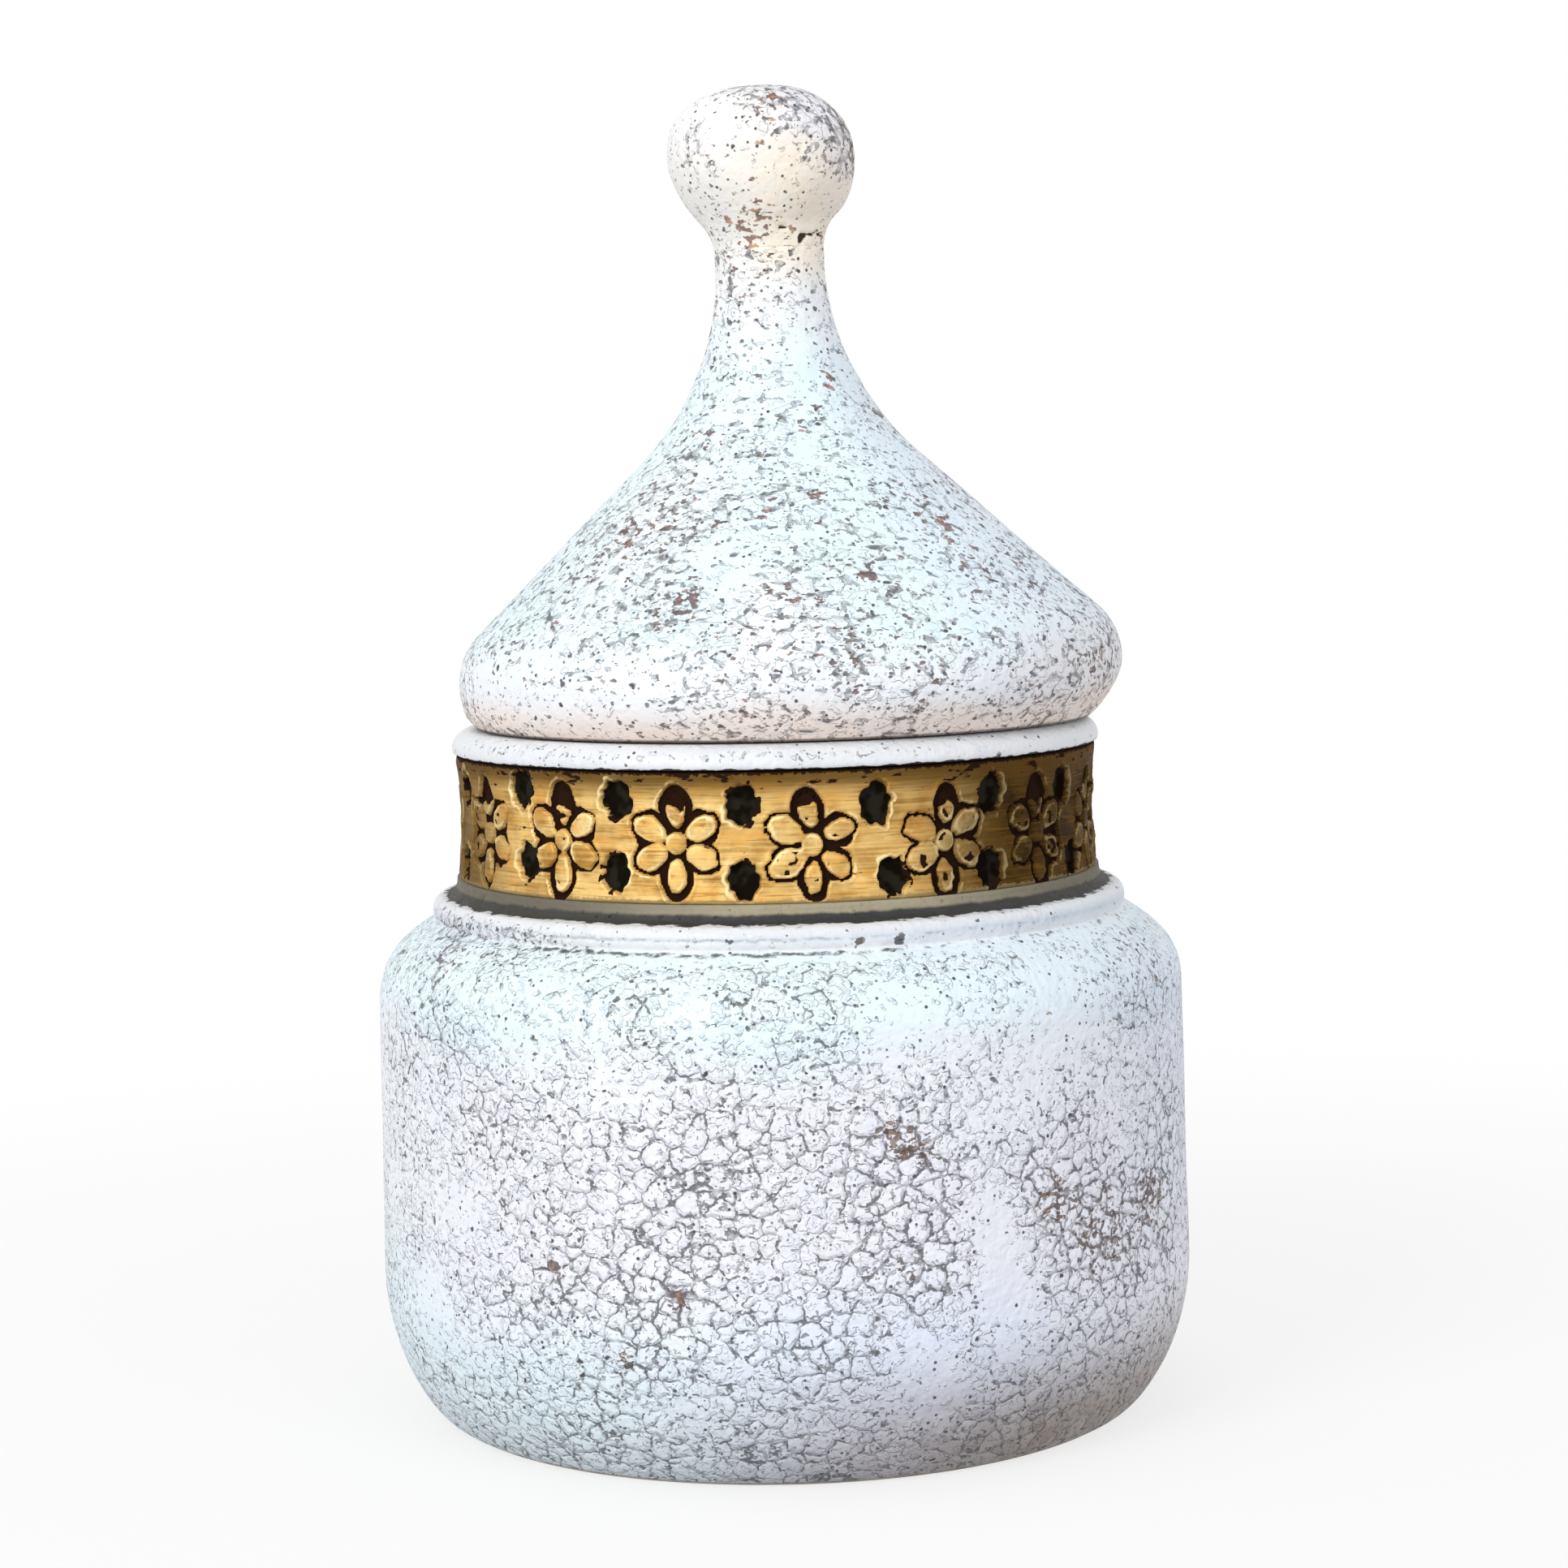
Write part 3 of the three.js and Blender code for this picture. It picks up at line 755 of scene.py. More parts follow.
nick = ease(9, 12, angle) * (1 - ease(18, 21, angle))
nick = nick * (1 - ease(0.15, 0.4, np.abs(height - JOINT_HEIGHT - 3.2 - 0.2 * rough)))
crack = np.maximum(crack, 0.8 * nick)
knob_grid = breathe(knob_grid, push - CRACK_DEPTH * crack)
knob_grid = leaned(knob_grid, KNOB_SHIFT * ease(JOINT_HEIGHT + 0.5, JOINT_HEIGHT + 9, height))
pole_low = leaned(np.array([0, 0, KNOB_LOW]))
pole_high = leaned(np.array([0, 0, KNOB_TOP + 0.01]), KNOB_SHIFT)
knob = make_piece("knob", knob_grid, poles=[pole_low, pole_high])
paint(knob, "crack", np.concatenate([crack.ravel(), [0, 0]]))
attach(knob, "lid")
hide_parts("lid_knob")

# %% [markdown]
# Now the finishes. A material in Blender is a small network of nodes, and writing one link at a time
# hides the idea. Here a node's output is wrapped as a Field, and arithmetic with fields adds the Math
# nodes, so a network reads like a formula. Patterns use Object coordinates, turned into millimetres,
# so a size in a material means the same as a size on the pot.

# %% Fields
class Field:
    """A number, a colour or a place that varies over a surface: one output of a node."""

    def __init__(self, socket):
        self.socket = socket
        self.tree = socket.id_data

    def also(self, output):
        """Another output of the same node."""
        return Field(self.socket.node.outputs[output])

    def __add__(self, other):
        return sums("ADD", self, other)

    def __sub__(self, other):
        return sums("SUBTRACT", self, other)

    def __rsub__(self, other):
        return sums("SUBTRACT", other, self)

    def __mul__(self, other):
        return sums("MULTIPLY", self, other)

    def __truediv__(self, other):
        return sums("DIVIDE", self, other)


def feed(socket, value):
    """Gives a socket a field, a number or a colour of three numbers."""
    if isinstance(value, Field):
        value.tree.links.new(value.socket, socket)
    elif socket.type == "RGBA":
        socket.default_value = (*value, 1)
    else:
        socket.default_value = value


def sums(operation, *values, kind="Math"):
    """One step of arithmetic, named as in the Math node. One of the values at least is a field."""
    tree = next(value.tree for value in values if isinstance(value, Field))
    node = tree.nodes.new("ShaderNode" + kind)
    node.operation = operation
    for socket, value in zip(node.inputs, values):
        feed(socket, value)
    return Field(node.outputs[0])


def add(tree, kind, output, choices=None, **inputs):
    """One output of a new node. `choices` are its menus, and `inputs` are fed by their names."""
    node = tree.nodes.new("ShaderNode" + kind)
    for key, value in (choices or {}).items():
        setattr(node, key, value)
    for key, value in inputs.items():
        feed(node.inputs[key.replace("_", " ")], value)
    return Field(node.outputs[output])


def step_up(value, low, high):
    """0 below `low`, 1 above `high`, smooth between."""
    smooth = {"interpolation_type": "SMOOTHSTEP"}
    return add(value.tree, "MapRange", "Result", smooth, Value=value, From_Min=low, From_Max=high)


def tint(share, below, above):
    """A colour between two, by a share from 0 to 1."""
    node = share.tree.nodes.new("ShaderNodeMix")
    node.data_type = "RGBA"
    for socket, value in zip((node.inputs[0], node.inputs[6], node.inputs[7]), (share, below, above)):
        feed(socket, value)
    return Field(node.outputs[2])


def most(*values):
    """The largest of several fields."""
    largest = values[0]
    for value in values[1:]:
        largest = sums("MAXIMUM", largest, value)
    return largest


def noise(place, size, detail=2.0):
    """Cloudy values about 0.5 that change over about `size` mm."""
    return add(place.tree, "TexNoise", "Fac", Vector=place, Scale=1 / size, Detail=detail)


def noises(place, size):
    """Three cloudy values that don't depend on each other: a coloured noise taken apart."""
    red = add(place.tree, "SeparateColor", "Red", Color=noise(place, size).also("Color"))
    return red, red.also("Green"), red.also("Blue")


def upwards(place):
    """The height in mm. Its node also gives X."""
    return add(place.tree, "SeparateXYZ", "Z", Vector=place)


class Finish:
    """A new material with its Principled shader, and the places in mm that its patterns start from."""

    def __init__(self, name):
        self.material = bpy.data.materials.new(name)
        self.material.use_nodes = True
        self.tree = self.material.node_tree
        self.shader = self.tree.nodes["Principled BSDF"]
        self.place = self.millimetres()

    def millimetres(self, stretch=(1, 1, 1)):
        """Object coordinates in mm. A stretch below 1 draws a pattern out in that direction."""
        place = add(self.tree, "TexCoord", "Object")
        return add(self.tree, "Mapping", "Vector", Vector=place, Scale=[1000 * v for v in stretch])

    def painted(self, name):
        """What paint() wrote on the mesh under that name."""
        return add(self.tree, "Attribute", "Fac", {"attribute_name": name})

    def set(self, **inputs):
        """Feeds the shader's inputs by their names."""
        for key, value in inputs.items():
            feed(self.shader.inputs[key.replace("_", " ")], value)

    def bump(self, height, strength, distance):
        """Makes the surface look raised by a height from 0 to 1, up to `distance` metres."""
        relief = add(self.tree, "Bump", "Normal", Height=height, Strength=strength, Distance=distance)
        self.set(Normal=relief)


# %% [markdown]
# Crazing is what makes this glaze. As it cooled it shrank more than the clay and split into cells of
# two to four millimetres, and dirt has darkened the cracks since. Voronoi's distance to edge draws
# such cells, and bending the coordinates with noise takes away their straight sides. A second, finer
# net adds short dashes between them. Noise breaks all lines up, and the painted value `crazing` says
# where on the jar the net is whole and where it thins out to dashes and specks.

# %% Cracks and specks
SCATTER = 0.9


def bent_place(place, size, amount):
    """Coordinates pushed about by coloured noise of a size in mm, so that cells lose straight sides."""
    swirl = noise(place, size).also("Color")
    return sums("MULTIPLY_ADD", swirl, (amount, amount, amount), place, kind="VectorMath")


def cells(place, size, feature):
    """Distance in mm that a Voronoi pattern with cells of about `size` mm gives for a feature."""
    away = add(place.tree, "TexVoronoi", "Distance", {"feature": feature}, Vector=place,
               Scale=1 / size, Randomness=SCATTER)
    return away, away * size


def edge_gap(place, size):
    """Distance in mm to the border between two cells."""
    return cells(place, size, "DISTANCE_TO_EDGE")[1]


def cell_lots(place, size):
    """Two random numbers for each cell, and the distance in mm from the cell's seed."""
    away, away_mm = cells(place, size, "F1")
    lot = add(place.tree, "SeparateColor", "Red", Color=away.also("Color"))
    return lot, lot.also("Green"), away_mm


def crack_lines(gap, width, presence):
    """1 on a line of that half width where `presence` is 1, thinner where it is less, gone at 0."""
    covered = 1 - step_up(gap / (presence * width + 0.001), 0.35, 1.0)
    return covered * step_up(presence, 0.02, 0.25)


def specks(place, size, radius, share):
    """Pinholes: one may sit at the seed of each cell, and about `share` of the cells have one.

    Their size and their darkness both follow the cell's second random number."""
    lot, other_lot, away = cell_lots(place, size)
    inside = 1 - step_up(away / (other_lot * (radius * 0.9) + radius * 0.5), 0.55, 1.0)
    return inside * (other_lot * 0.6 + 0.4) * sums("LESS_THAN", lot, share)


# %% The glaze
PEARLY = (0.95, 0.96, 0.98)
GREYED = (0.62, 0.64, 0.74)
VALLEY_SHADE = (0.45, 0.48, 0.55)
GREY_CRACK = (0.12, 0.125, 0.135)
BROWN_CRACK = (0.10, 0.055, 0.045)
BLACK_SCURF = (0.028, 0.025, 0.024)
PINHOLE = (0.075, 0.07, 0.075)


def crazed_glaze(name, cell, run, flow, crack_width, speck_share, old_rust, fresh_rust):
    """The white glaze: painted colour and light, cracks with painted shade, dashes, pinholes and rust.

    `cell` is the net's cell size in mm, `run` how far a crack goes before it breaks off, and `flow`
    stretches the breaks, below 1 in the level directions for dashes that lie along the wheel's turn.
    A crack's half width is `crack_width` mm times about 0.85, more where rust is painted, and times
    `uneven`, a noise that swells and pinches it. A crack shows where the painted crazing and a noise
    together pass a threshold. `old_rust` and `fresh_rust` are the two colours of the stains, which
    turn to black scurf where the painted rust passes 1."""
    glaze = Finish(name)
    place = glaze.place
    flowing = glaze.millimetres((flow, flow, 1))
    bent = bent_place(flowing, 1.6, 1.7)
    crazing = glaze.painted("crazing")
    rust = glaze.painted("rust")
    tints_and_painted_light = glaze.painted("tints_and_painted_light").also("Color")

    wide_gap = edge_gap(bent, cell)
    fine_gap = edge_gap(bent, cell * 0.52)
    wide_urge, fine_urge, age = noises(flowing, run)
    wide = step_up(crazing * 0.62 + wide_urge, 0.77, 0.88)
    fine = step_up(crazing * 0.38 + fine_urge, 0.79, 0.88)
    uneven = age * 3.4 - 0.66
    half_width = uneven * (rust * (crack_width * 0.75) + crack_width * 0.85)
    wide_lines = crack_lines(wide_gap, half_width, wide)
    lines = most(wide_lines, crack_lines(fine_gap, half_width * 0.8, fine) * 0.8)
    dirt_in_lines = step_up(crazing * 0.20 + age, 0.50, 0.76) * 0.64 + 0.28
    glazed = step_up(crazing, 0.05, 0.30)
    thick = step_up(noises(place, 7)[0], 0.28, 0.66) * glazed
    small_holes = specks(place, 1.25, 0.28, thick * speck_share)
    holes = most(small_holes, specks(bent, 2.3, 0.40, glazed * (speck_share * 0.65)))

    cell_lot, other_lot, _ = cell_lots(bent, cell)
    ground = tint(other_lot * 0.07, tint(cell_lot * 0.20, tints_and_painted_light, PEARLY), GREYED)
    # Painted shade: beside the wide cracks the ground is tinted grey-blue, the shade in the valley along
    # each crack.
    halo = (1 - step_up(wide_gap, 0.1, 0.7)) * wide
    darkening = tint(halo * 0.08, ground, VALLEY_SHADE)
    line_colour = tint(step_up(rust, 0.2, 0.9), GREY_CRACK, BROWN_CRACK)
    cracked = tint(lines * dirt_in_lines, darkening, line_colour)
    scurf = noise(glaze.millimetres((0.7 * flow, 0.7 * flow, 1)), 1.1, 3.0)
    rust_share = step_up(rust * 0.22 + scurf, 0.715, 0.75)
    rust_colour = tint(step_up(age, 0.46, 0.66), old_rust, fresh_rust)
    rust_colour = tint(step_up(rust, 1.05, 1.3), rust_colour, BLACK_SCURF)
    glaze.colour = tint(holes, tint(rust_share * 0.88, cracked, rust_colour), PINHOLE)

    dull = most(lines, holes)
    glaze.roughness = dull * 0.35 + (cell_lot * 0.14 + 0.36)
    glaze.age = age
    pillow = step_up(wide_gap, 0.0, 0.8) * wide
    glaze.bump(noise(place, 1.5, 1.0) * 0.9 + pillow - dull, strength=0.85, distance=0.0004)
    glaze.set(Base_Color=glaze.colour, Roughness=glaze.roughness, IOR=1.5)
    return glaze


# %% [markdown]
# The glaze isn't one white. It fired pearly, and cream on the lid's edge and the knob. Over that lies
# painted light: the pale blue on the shoulder and low down and the lavender on the wall are painted
# reflections of the sky, and the periwinkle on the right, the grey-brown at the heel and the blue-grey
# under the bead are painted shade. The greyer white of the bead and rim is partly its own colour and
# partly painted shade. Such colours could be gradients in the material, but they sit at places, so
# they are painted on the points: each colour is laid over the last by its share. A place is given by
# its angle from the front, its height and its reach, in degrees and mm.

# %% Colours of the tints and the painted light
PEARL = np.array([0.885, 0.92, 0.965])
CYAN = np.array([0.75, 0.925, 0.985])
LAVENDER = np.array([0.865, 0.86, 0.975])
PERIWINKLE = np.array([0.73, 0.80, 0.985])
CREAM = np.array([0.91, 0.745, 0.63])
STRAW = np.array([0.99, 0.88, 0.72])
PEACH = np.array([0.93, 0.76, 0.60])
LEMON = np.array([0.90, 0.90, 0.74])
WARM_WHITE = np.array([0.92, 0.92, 0.915])
SHADE_BROWN = np.array([0.23, 0.165, 0.125])
BEAD_WHITE = np.array([0.76, 0.785, 0.81])
BEAD_SHADE = np.array([0.54, 0.63, 0.73])


def washed(base, layers):
    """Lays colours over a base, each by its own share for each point."""
    colour = np.broadcast_to(base, (len(layers[0][1]), 3)).copy()
    for shade, share in layers:
        share = np.clip(share, 0, 1)[:, None]
        colour = colour * (1 - share) + shade * share
    return colour


def places(points, *spots):
    """The sum of bell-shaped spots, each given by angle, height and reach."""
    return sum(near(points, *spot) for spot in spots)


# %% Paint the pot
at = points_of(pot)
z = at[:, 2]
angle = front_angle(at)
side = sideways(at)
drift = wander(at, 26, 51)
blotch = wander(at, 8, 52)
strong = places(at, (14, 64, 11), (-9, 60, 10), (17, 47, 13), (-16, 38, 11), (38, 50, 13), (47, 40, 9),
                (62, 44, 14), (2, 26, 9), (-62, 95, 8), (-44, 96, 6))
smooth = 0.6 * near(at, 39, 77, 14) + places(at, (-36, 77, 6), (-51, 47, 8), (20, 22, 12), (-56, 27, 12),
                                             (-2, 78, 9), (16, 80, 9))
bare_stripe = places(at, (29, 34, 5), (28.5, 42, 5.5), (28, 50, 5))
net = 0.565 - 0.08 * ease(79, 87, z) + 0.10 * (1 - ease(6, 20, z)) + 0.30 * strong - 0.24 * smooth
net = net + 0.17 * blotch + 0.08 * drift - 0.55 * np.clip(bare_stripe, 0, 1)
net_top = 92 + 4.9 * (1 - ease(-42, -24, angle)) * ease(-100, -80, angle)
on_neck = ease(99, 101, z)
rim_marks = np.exp(-((z - 128.7) / 0.9) ** 2) * ease(-75, -45, angle) * (1 - ease(5, 30, angle))
few_specks = (0.17 + 0.1 * blotch) * (1 - on_neck) + (0.17 + 0.08 * blotch) * on_neck + 0.24 * rim_marks
on_bead = ease(0, 2.5, z - net_top)
paint(pot, "crazing", np.clip(net * (1 - on_bead) + few_specks * on_bead, 0, 1))

stains = places(at, (14, 64, 5), (18, 60, 3.5), (60, 44, 7), (38, 49, 5), (-14, 36, 3), (-22, 24, 3),
                (-32, 40, 3))
chips = places(at, (12, 96.2, 1.4), (18.5, 96.0, 1.6), (-8, 96.8, 1.0))
shoulder = ease(78, 86, z) * (1 - on_bead)
bold = shoulder * (0.15 + 0.3 * places(at, (-60, 94, 10), (-44, 95, 6), (60, 90, 8)))
bold = bold + 0.75 * near(at, 46, 41, 10) + 0.28 * near(at, 17, 43, 9) + 0.2 * near(at, -8, 56, 9)
rusty = np.clip(0.95 * stains + 0.2 * blotch, 0, 0.95) * (1 - ease(90, 93, z))
paint(pot, "rust", rusty + bold + 1.7 * chips)
paint(pot, "dirt", 0.25 + 0.75 * ease(-48, -30, angle) * (1 - ease(0, 22, angle)))

# Painted light: cyan and lavender are painted reflections of the sky. Periwinkle on the right, the
# grey-brown at the heel and the blue-grey under the bead are painted shade, and the bead's greyer white is
# partly painted shade.
high_cyan = ease(72, 84, z + 4 * drift) * (1 - ease(94, 96, z))
low = 1 - ease(22, 44, z + 8 * drift)
low_left = 1 - ease(-30, 25, side)
heel_shade = 0.95 * (1 - ease(5, 29, z)) * ease(-32, 46, angle) * (1 - ease(110, 160, angle))
paint(pot, "tints_and_painted_light", washed(PEARL, [
    (LAVENDER, 0.62 * ease(-0.5, 0.5, drift + 0.55 * ease(-45, 0, side))),
    (CYAN, 0.8 * high_cyan),
    (CYAN, 0.75 * low * low_left),
    (PERIWINKLE, 0.7 * low * (1 - low_left) * (1 - ease(25, 60, side))),
    (PERIWINKLE, 0.45 * ease(45, 75, side) * ease(30, 60, z) * (1 - ease(80, 92, z))),
    (PERIWINKLE, 0.4 * ease(62, 84, z) * ease(15, 60, side) * (1 - 0.5 * ease(84, 96, z))),
    (SHADE_BROWN, heel_shade),
    (SHADE_BROWN, 0.12 * (1 - ease(4, 14, z))),
    (BEAD_WHITE, 0.9 * ease(94, 96, z)),
    (BEAD_SHADE, (0.3 + 0.55 * ease(0, 30, side)) * np.exp(-((z - 96.9) / 1.0) ** 2)),
]))
print("pot painted:", len(at), "points")

# %% Paint the lid and the knob
def creamy_side(angle):
    """1 on the front and right of the knob and stem, where the glaze fired cream, 0 on the left."""
    return ease(-40, 20, angle) * (1 - ease(110, 160, angle))


at = points_of(lid_cone)
z = at[:, 2]
angle = front_angle(at)
side = sideways(at)
drift = wander(at, 22, 61)
blotch = wander(at, 7, 62)
# Painted highlight: on the lower left of the lid's edge the net thins out, where the light makes the glaze
# look blank.
bald_highlight = places(at, (-44, 139, 8), (-25, 137, 8), (-60, 141, 7))
on_right = ease(5, 45, angle) * (1 - ease(60, 75, angle))
net = 0.50 + 0.13 * blotch - 0.3 * bald_highlight - 0.07 * ease(172, 188, z) - 0.09 * on_right
paint(lid_cone, "crazing", np.clip(net + 0.22 * near(at, 53, 138, 9), 0, 1))
stains = places(at, (-42, 165, 5), (-36, 168, 5), (-27, 170, 5), (-17, 155, 3), (-21, 152, 3),
                (2, 157, 4), (-5, 147, 4), (12, 146, 4), (20, 159, 3), (48, 166, 5), (62, 142, 6),
                (46, 138, 4), (-4, 134.5, 4))
marks = places(at, (43, 195, 2.2), (15, 174, 1.8), (-17, 155, 1.8), (-21, 152, 1.5), (49, 168, 1.8),
               (20, 159, 1.6))
rusty = 0.36 * np.clip(stains, 0, 1.1) + 0.6 * marks + 0.2 * blotch + 0.30
paint(lid_cone, "rust", np.clip(rusty, 0, 1.0))
# Painted reflection and shade: the cyan across the cone stands for reflected sky and the periwinkle on the
# right for shade. Cream, warm white and straw are the glaze's own colours.
paint(lid_cone, "tints_and_painted_light", washed(PEARL, [
    (CYAN, 0.85 * ease(-0.6, 0.4, drift + 0.4) * ease(140, 150, z) * (1 - ease(200, 216, z))),
    (PERIWINKLE, 0.35 * ease(20, 60, side)),
    (WARM_WHITE, 0.45 * near(at, -38, 168, 14)),
    (CREAM, 0.85 * (1 - ease(133, 140, z + 2 * drift))),
    (CREAM, 0.30 * ease(30, 58, side) * (1 - ease(142, 158, z))),
    (WARM_WHITE, 0.7 * ease(195, 215, z)),
    (STRAW, 0.3 * ease(212, 220, z)),
    (STRAW, 0.95 * ease(210, 220.5, z) * creamy_side(angle)),
]))

at = points_of(knob)
z = at[:, 2]
angle = front_angle(at)
creamy = creamy_side(angle)
blotch = wander(at, 6, 72)
crest = np.clip(places(at, (40, 246, 8), (75, 243, 9), (60, 238, 6), (0, 249.5, 7)), 0, 1)
edge_line = places(at, (66, 244, 3), (72, 240, 3), (76, 236, 3))
net = 0.20 + 0.43 * crest + 0.22 * edge_line + 0.2 * near(at, -50, 236, 7) + 0.12 * blotch
paint(knob, "crazing", np.clip(net + 0.17 * (1 - ease(221, 236, z)) * (1 - creamy), 0, 1))
foot_stain = places(at, (-32, 225, 2.5), (-12, 224, 3), (3, 225, 2.5), (30, 222, 2), (75, 221, 3),
                    (-15, 220.5, 2.5))
fired = 0.72 * foot_stain + 0.75 * near(at, 8, 245.5, 3.5) + 0.6 * edge_line
paint(knob, "rust", np.clip(fired + 0.15 * blotch + 0.2, 0, 1.0))
paint(knob, "tints_and_painted_light", washed(WARM_WHITE, [
    (STRAW, 0.3 * (1 - ease(232, 242, z))),
    (STRAW, 0.95 * creamy * (1 - ease(235, 244, z))),
    (PEACH, 0.5 * near(at, 45, 230, 7)),
    (LEMON, 0.7 * near(at, -8, 246.5, 4.5)),
    (LAVENDER, 0.45 * crest),
]))
print("lid and knob painted")

# %% [markdown]
# The pot needs two things more. Dirt lies in the wheel lines, mostly in the lower one. And under the
# band the glaze stops: the hollow moulding was brushed with a dark slip, nearly black against the
# white bead, with the slightly wavy edge that a brush leaves. Its pale grey top is a painted reflection
# of the gold above, its darkening towards the sides is painted shade, and the channel behind the band
# is painted near black as a painted shadow. Both are laid over the glaze by their height.

# %% The pot's glaze and the dark slip
WHEEL_LINE_DIRT = (0.35, 1.0)
SLIP_PALEST_AT = 8
glaze = crazed_glaze("pot_glaze", cell=3.7, run=1.4, flow=0.9, crack_width=0.178, speck_share=0.55,
                     old_rust=(0.075, 0.040, 0.028), fresh_rust=(0.36, 0.22, 0.14))
up = upwards(glaze.place)
ripple = noise(glaze.place, 3.0, 3.0) - 0.5
colour = glaze.colour
patchy = step_up(glaze.painted("dirt") * 0.25 + glaze.age, 0.54, 0.80)
for line_height, dirtiness in zip(WHEEL_LINES, WHEEL_LINE_DIRT):
    on_line = 1 - step_up(sums("ABSOLUTE", ripple * 1.3 + up - line_height), 0.08, 0.4)
    colour = tint(on_line * patchy * dirtiness, colour, (0.12, 0.12, 0.12))
level = ripple * 0.9 + up
above_bead = step_up(level, 99.15, 99.3)
under_rim = 1 - step_up(ripple * 1.3 + up, 126.4, 126.55)
from_axis = sums("LENGTH", glaze.millimetres((1, 1, 0)), kind="VectorMath").also("Value")
slip = above_bead * under_rim * step_up(from_axis, 55.5, 57.0)
# Painted reflection: the cove's pale khaki top stands for the gold above it; lower down the slip is near
# black.
slip_and_shade_colour = tint(step_up(level, 100.5, 101.2), (0.014, 0.015, 0.018), (0.42, 0.37, 0.25))
# Painted shade: the slip darkens towards both sides of the jar.
beside = step_up(sums("ABSOLUTE", up.also("X") - SLIP_PALEST_AT), 8, 54)
slip_and_shade_colour = tint(beside * 0.7, slip_and_shade_colour, (0.030, 0.028, 0.021))
streak = noise(glaze.millimetres((0.05, 0.05, 1.2)), 1.0, 3.0)
slip_and_shade_colour = tint(streak * 0.35, slip_and_shade_colour, (0.07, 0.07, 0.06))
# Painted shadow: the channel behind the band is near black.
slip_and_shade_colour = tint(step_up(up, 102.6, 103.0), slip_and_shade_colour, (0.015, 0.012, 0.010))
glaze.set(Base_Color=tint(slip, colour, slip_and_shade_colour), Roughness=slip * 0.25 + glaze.roughness)
pot.data.materials.append(glaze.material)
print("pot glazed with", len(glaze.tree.nodes), "nodes")

# %% [markdown]
# The lid and the knob have the same glaze with a finer net that is more broken, drawn out along the
# turn of the wheel. The lid's lowest half millimetre is painted dark where it meets the rim, a painted
# shadow of the gap there, and the knob's crack is painted dark brown. The knob is a little less glossy
# than the rest.

# %% The lid's glaze and the knob's
glaze = crazed_glaze("lid_glaze", cell=3.2, run=1.5, flow=0.75, crack_width=0.27, speck_share=0.8,
                     old_rust=(0.095, 0.032, 0.028), fresh_rust=(0.42, 0.22, 0.17))
# Painted shadow: the lid's lowest edge is dark brown, the shade of the gap at the rim.
seam_shadow = 1 - step_up(upwards(glaze.place), 131.1, 131.6)
glaze.set(Base_Color=tint(seam_shadow * 0.85, glaze.colour, (0.09, 0.055, 0.04)))
lid_cone.data.materials.append(glaze.material)

glaze = crazed_glaze("knob_glaze", cell=3.2, run=1.8, flow=1.0, crack_width=0.30, speck_share=0.7,
                     old_rust=(0.17, 0.085, 0.060), fresh_rust=(0.56, 0.30, 0.14))
crack_share = step_up(glaze.painted("crack"), 0.25, 0.7)
glaze.set(Base_Color=tint(crack_share, glaze.colour, (0.045, 0.024, 0.017)),
          Roughness=glaze.roughness + 0.16)
knob.data.materials.append(glaze.material)
print("lid and knob glazed")

# %% [markdown]
# The gilding is gold paint brushed round the band: part metal, part lacquer. Streaks run level, because
# the pot turned under the brush. The Mapping node gives the level directions a twentieth of the height's
# scale or less, which draws a plain noise out into such streaks. Towards the rim the gold is painted
# brown as a painted shade under the rim. On the right and the far left it is painted dark brown as a
# painted shade with some tarnish. Burrs and petal edges are rubbed pale and carry a painted highlight.

# %% The gilding
gilding = Finish("gilding")
place = gilding.place
bare = gilding.painted("bare")
pale = gilding.painted("pale")
hole_share = gilding.painted("hole")
shade_and_tarnish = gilding.painted("shade_and_tarnish")
up = upwards(place)
streaks = noise(gilding.millimetres((0.05, 0.05, 1.8)), 1.0, 5.0)
cloud = noise(place, 6.0, 3.0)
grain = noise(place, 0.7, 2.0)
worn = noise(gilding.millimetres((0.4, 0.4, 1.3)), 1.5, 4.0)

bright = step_up(streaks * 0.4 + cloud * 0.6, 0.33, 0.62)
# Painted shade with tarnish: the gold turns dark brown on the right and the far left of the band.
darkening = step_up(cloud * 0.4 + shade_and_tarnish, 0.28, 1.25)
gold = tint(bright, (0.38, 0.19, 0.035), (0.84, 0.57, 0.21))
mottle = step_up(noise(gilding.millimetres((0.5, 0.5, 1)), 3.2, 4.0), 0.48, 0.64)
gold = tint(mottle * 0.5, gold, (0.80, 0.41, 0.09))
gold = tint(darkening, gold, tint(bright, (0.020, 0.010, 0.002), (0.095, 0.050, 0.009)))
scratches = step_up(noise(gilding.millimetres((0.12, 0.12, 2.6)), 1.0, 3.0), 0.56, 0.68)
gold = tint(scratches * 0.5, gold, (0.24, 0.10, 0.016))
# Painted shade: the top few millimetres of gold darken brown under the overhanging rim.
shade_under_rim = step_up(cloud * 2.5 + up, 121.8, 126.2)
gold = tint(shade_under_rim * 0.9, gold, (0.10, 0.050, 0.010))
# Painted highlight with wear: burrs and petal edges are rubbed pale and painted lighter as a highlight.
rubbed_highlight = tint(darkening, (1.0, 0.83, 0.44), (0.34, 0.25, 0.12))
gold = tint(step_up(grain * 0.5 + pale, 0.4, 1.1) * 0.8, gold, rubbed_highlight)
fringe = 1 - step_up(grain * 1.6 + up, 103.9, 104.3)
gold = tint(fringe * 0.65, gold, (0.30, 0.235, 0.12))

flecks = step_up(shade_under_rim * 0.12 + worn, 0.69, 0.74)
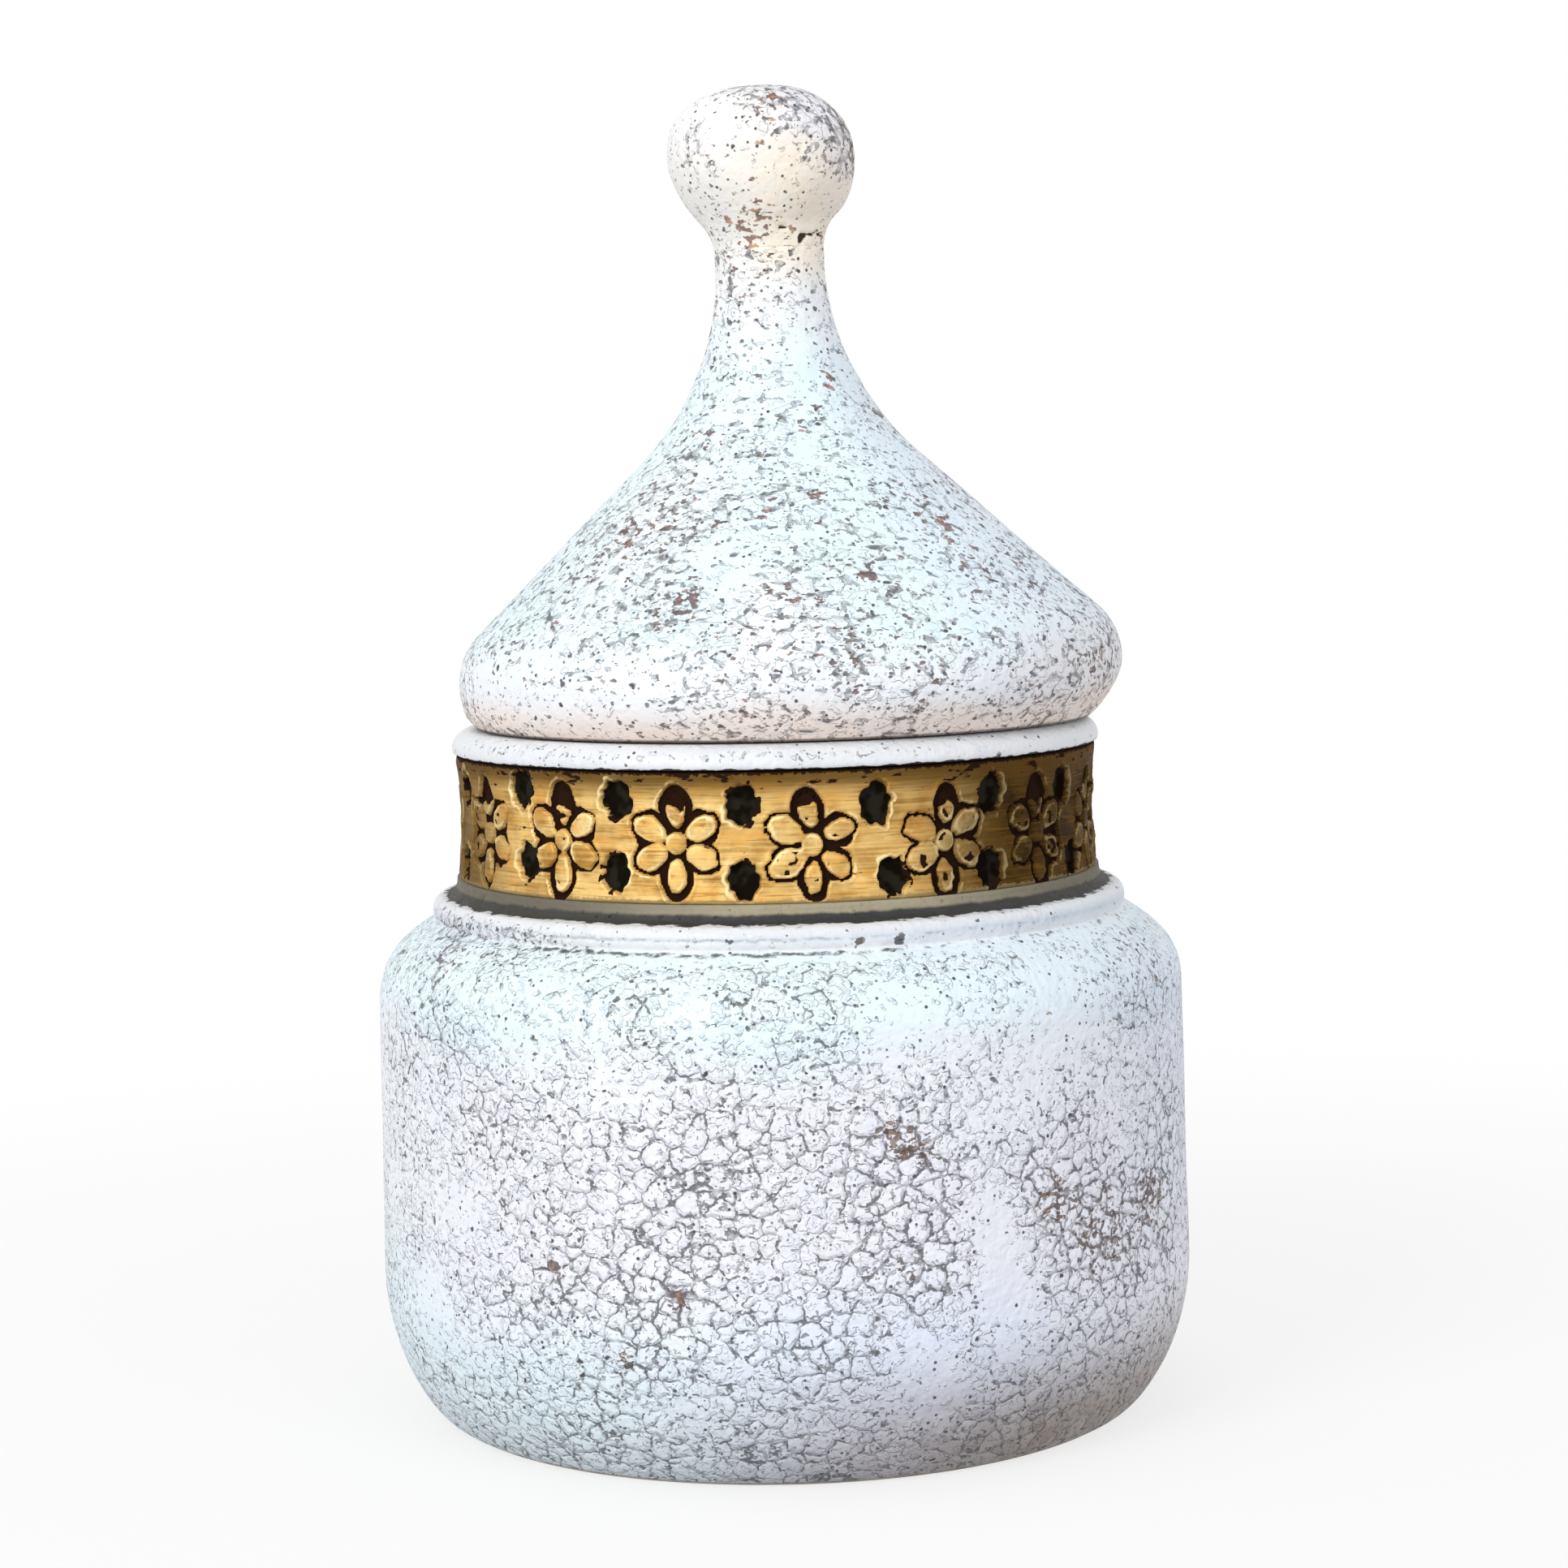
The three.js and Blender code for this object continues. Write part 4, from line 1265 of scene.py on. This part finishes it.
# Painted shadow with bare slip: a ragged dark line runs along the top edge, under the rim.
high_line = step_up(grain * 1.3 + up, 125.9, 126.3)
missing = most(step_up(grain * 0.4 + bare, 0.58, 0.78), flecks, high_line)
# Where the gold is missing the dark slip shows. In the deep holes it is near black, darkened further as
# painted shade.
hole_tone = tint(step_up(noise(place, 2.6, 1.0), 0.42, 0.62), (0.005, 0.004, 0.003), (0.020, 0.018, 0.014))
dark_slip_and_shade = tint(hole_share, (0.019, 0.008, 0.005), hole_tone)
gilding.set(
    Base_Color=tint(missing, gold, dark_slip_and_shade),
    Metallic=most(missing, darkening) * -0.35 + 0.35,
    Roughness=missing * 0.35 + (darkening * 0.22 + (streaks * 0.2 + 0.38)),
    Specular_IOR_Level=0.1,
    Specular_Tint=(0.75, 0.50, 0.20),
)
gilding.bump(streaks * 0.5 + grain * 0.7, strength=0.45, distance=0.0002)
gold_band.data.materials.append(gilding.material)
print("band gilded with", len(gilding.tree.nodes), "nodes")

# %% [markdown]
# Bare stoneware is pale, dry and sandy: dark iron grains, light grog and tiny pits, with no gloss. The
# grains are the same specks as the glaze's pinholes, in other sizes and colours.

# %% Bare clay
clay = Finish("clay")
place = clay.place
tone = step_up(noise(place, 6.0, 4.0), 0.3, 0.7)
iron = specks(place, 1.3, 0.2, 0.4)
grog = specks(bent_place(place, 2.0, 1.0), 1.9, 0.3, 0.5)
with_grog = tint(grog * 0.6, tint(tone, (0.52, 0.43, 0.34), (0.66, 0.57, 0.47)), (0.78, 0.72, 0.64))
clay.set(Base_Color=tint(iron * 0.7, with_grog, (0.16, 0.10, 0.07)), Roughness=0.88)
clay.bump(noise(place, 0.5, 3.0) - iron * 0.5, strength=0.6, distance=0.00015)
for piece in (foot_clay, lid_ring):
    piece.data.materials.append(clay.material)
print("foot and ring left bare")

# %% [markdown]
# The studio is plain: a pale floor and a white world, a large soft lamp high on the left in front, and a
# weak one opposite. The world lights the jar gently but looks white to the camera and in reflections,
# which its Light Path node tells apart. The floor does the same: it stays white but keeps the jar's
# shadow, and far from the jar it fades into the background.

# %% Floor
FLOOR_HALF = 3.0
corners = [(x * FLOOR_HALF, y * FLOOR_HALF, 0) for x, y in ((-1, -1), (1, -1), (1, 1), (-1, 1))]
floor_mesh = bpy.data.meshes.new("floor")
floor_mesh.from_pydata(corners, [], [(0, 1, 2, 3)])
floor = bpy.data.objects.new("floor", floor_mesh)
bpy.context.scene.collection.objects.link(floor)


def seen_directly(tree):
    """1 for what the camera, a reflection or a see-through surface looks at, 0 for light on the way."""
    path = add(tree, "LightPath", "Is Camera Ray")
    return most(path, path.also("Is Glossy Ray"), path.also("Is Transmission Ray"))


floor_paint = Finish("floor_paint")
tree = floor_paint.tree
seen = seen_directly(tree)
floor_paint.set(Base_Color=tint(seen, (0.48, 0.48, 0.49), (0.88, 0.88, 0.88)), Roughness=0.9)
far_off = sums("LENGTH", floor_paint.place, kind="VectorMath").also("Value")
glow_share = seen * (step_up(far_off, 120, 480) * 0.25 + 0.75)
blend = tree.nodes.new("ShaderNodeMixShader")
glow = add(tree, "Emission", "Emission", Strength=1.0)
for socket, value in zip(blend.inputs, (glow_share, Field(floor_paint.shader.outputs[0]), glow)):
    feed(socket, value)
feed(tree.nodes["Material Output"].inputs["Surface"], Field(blend.outputs[0]))
floor.data.materials.append(floor_paint.material)

# %% World and lamps
WORLD_LIGHT = 0.74
world = bpy.data.worlds.new("studio")
world.use_nodes = True
bpy.context.scene.world = world
background = world.node_tree.nodes["Background"]
feed(background.inputs["Color"], (1, 1, 1))
feed(background.inputs["Strength"], seen_directly(world.node_tree) * (1 - WORLD_LIGHT) + WORLD_LIGHT)


def soft_lamp(name, place, size, power, target=(0, 0, 0.12)):
    """A square lamp of `size` metres at a place, turned towards its target."""
    lamp = bpy.data.lights.new(name, "AREA")
    lamp.size = size
    lamp.energy = power
    holder = bpy.data.objects.new(name, lamp)
    holder.location = place
    aim = Vector(target) - Vector(place)
    holder.rotation_euler = aim.to_track_quat("-Z", "Y").to_euler()
    bpy.context.scene.collection.objects.link(holder)


soft_lamp("key", (-0.95, -1.25, 0.80), size=0.8, power=13.5)
soft_lamp("fill", (1.2, -1.3, 0.5), size=1.0, power=5)
bpy.context.scene.view_settings.view_transform = "Standard"
print("floor, world and lamps are in")
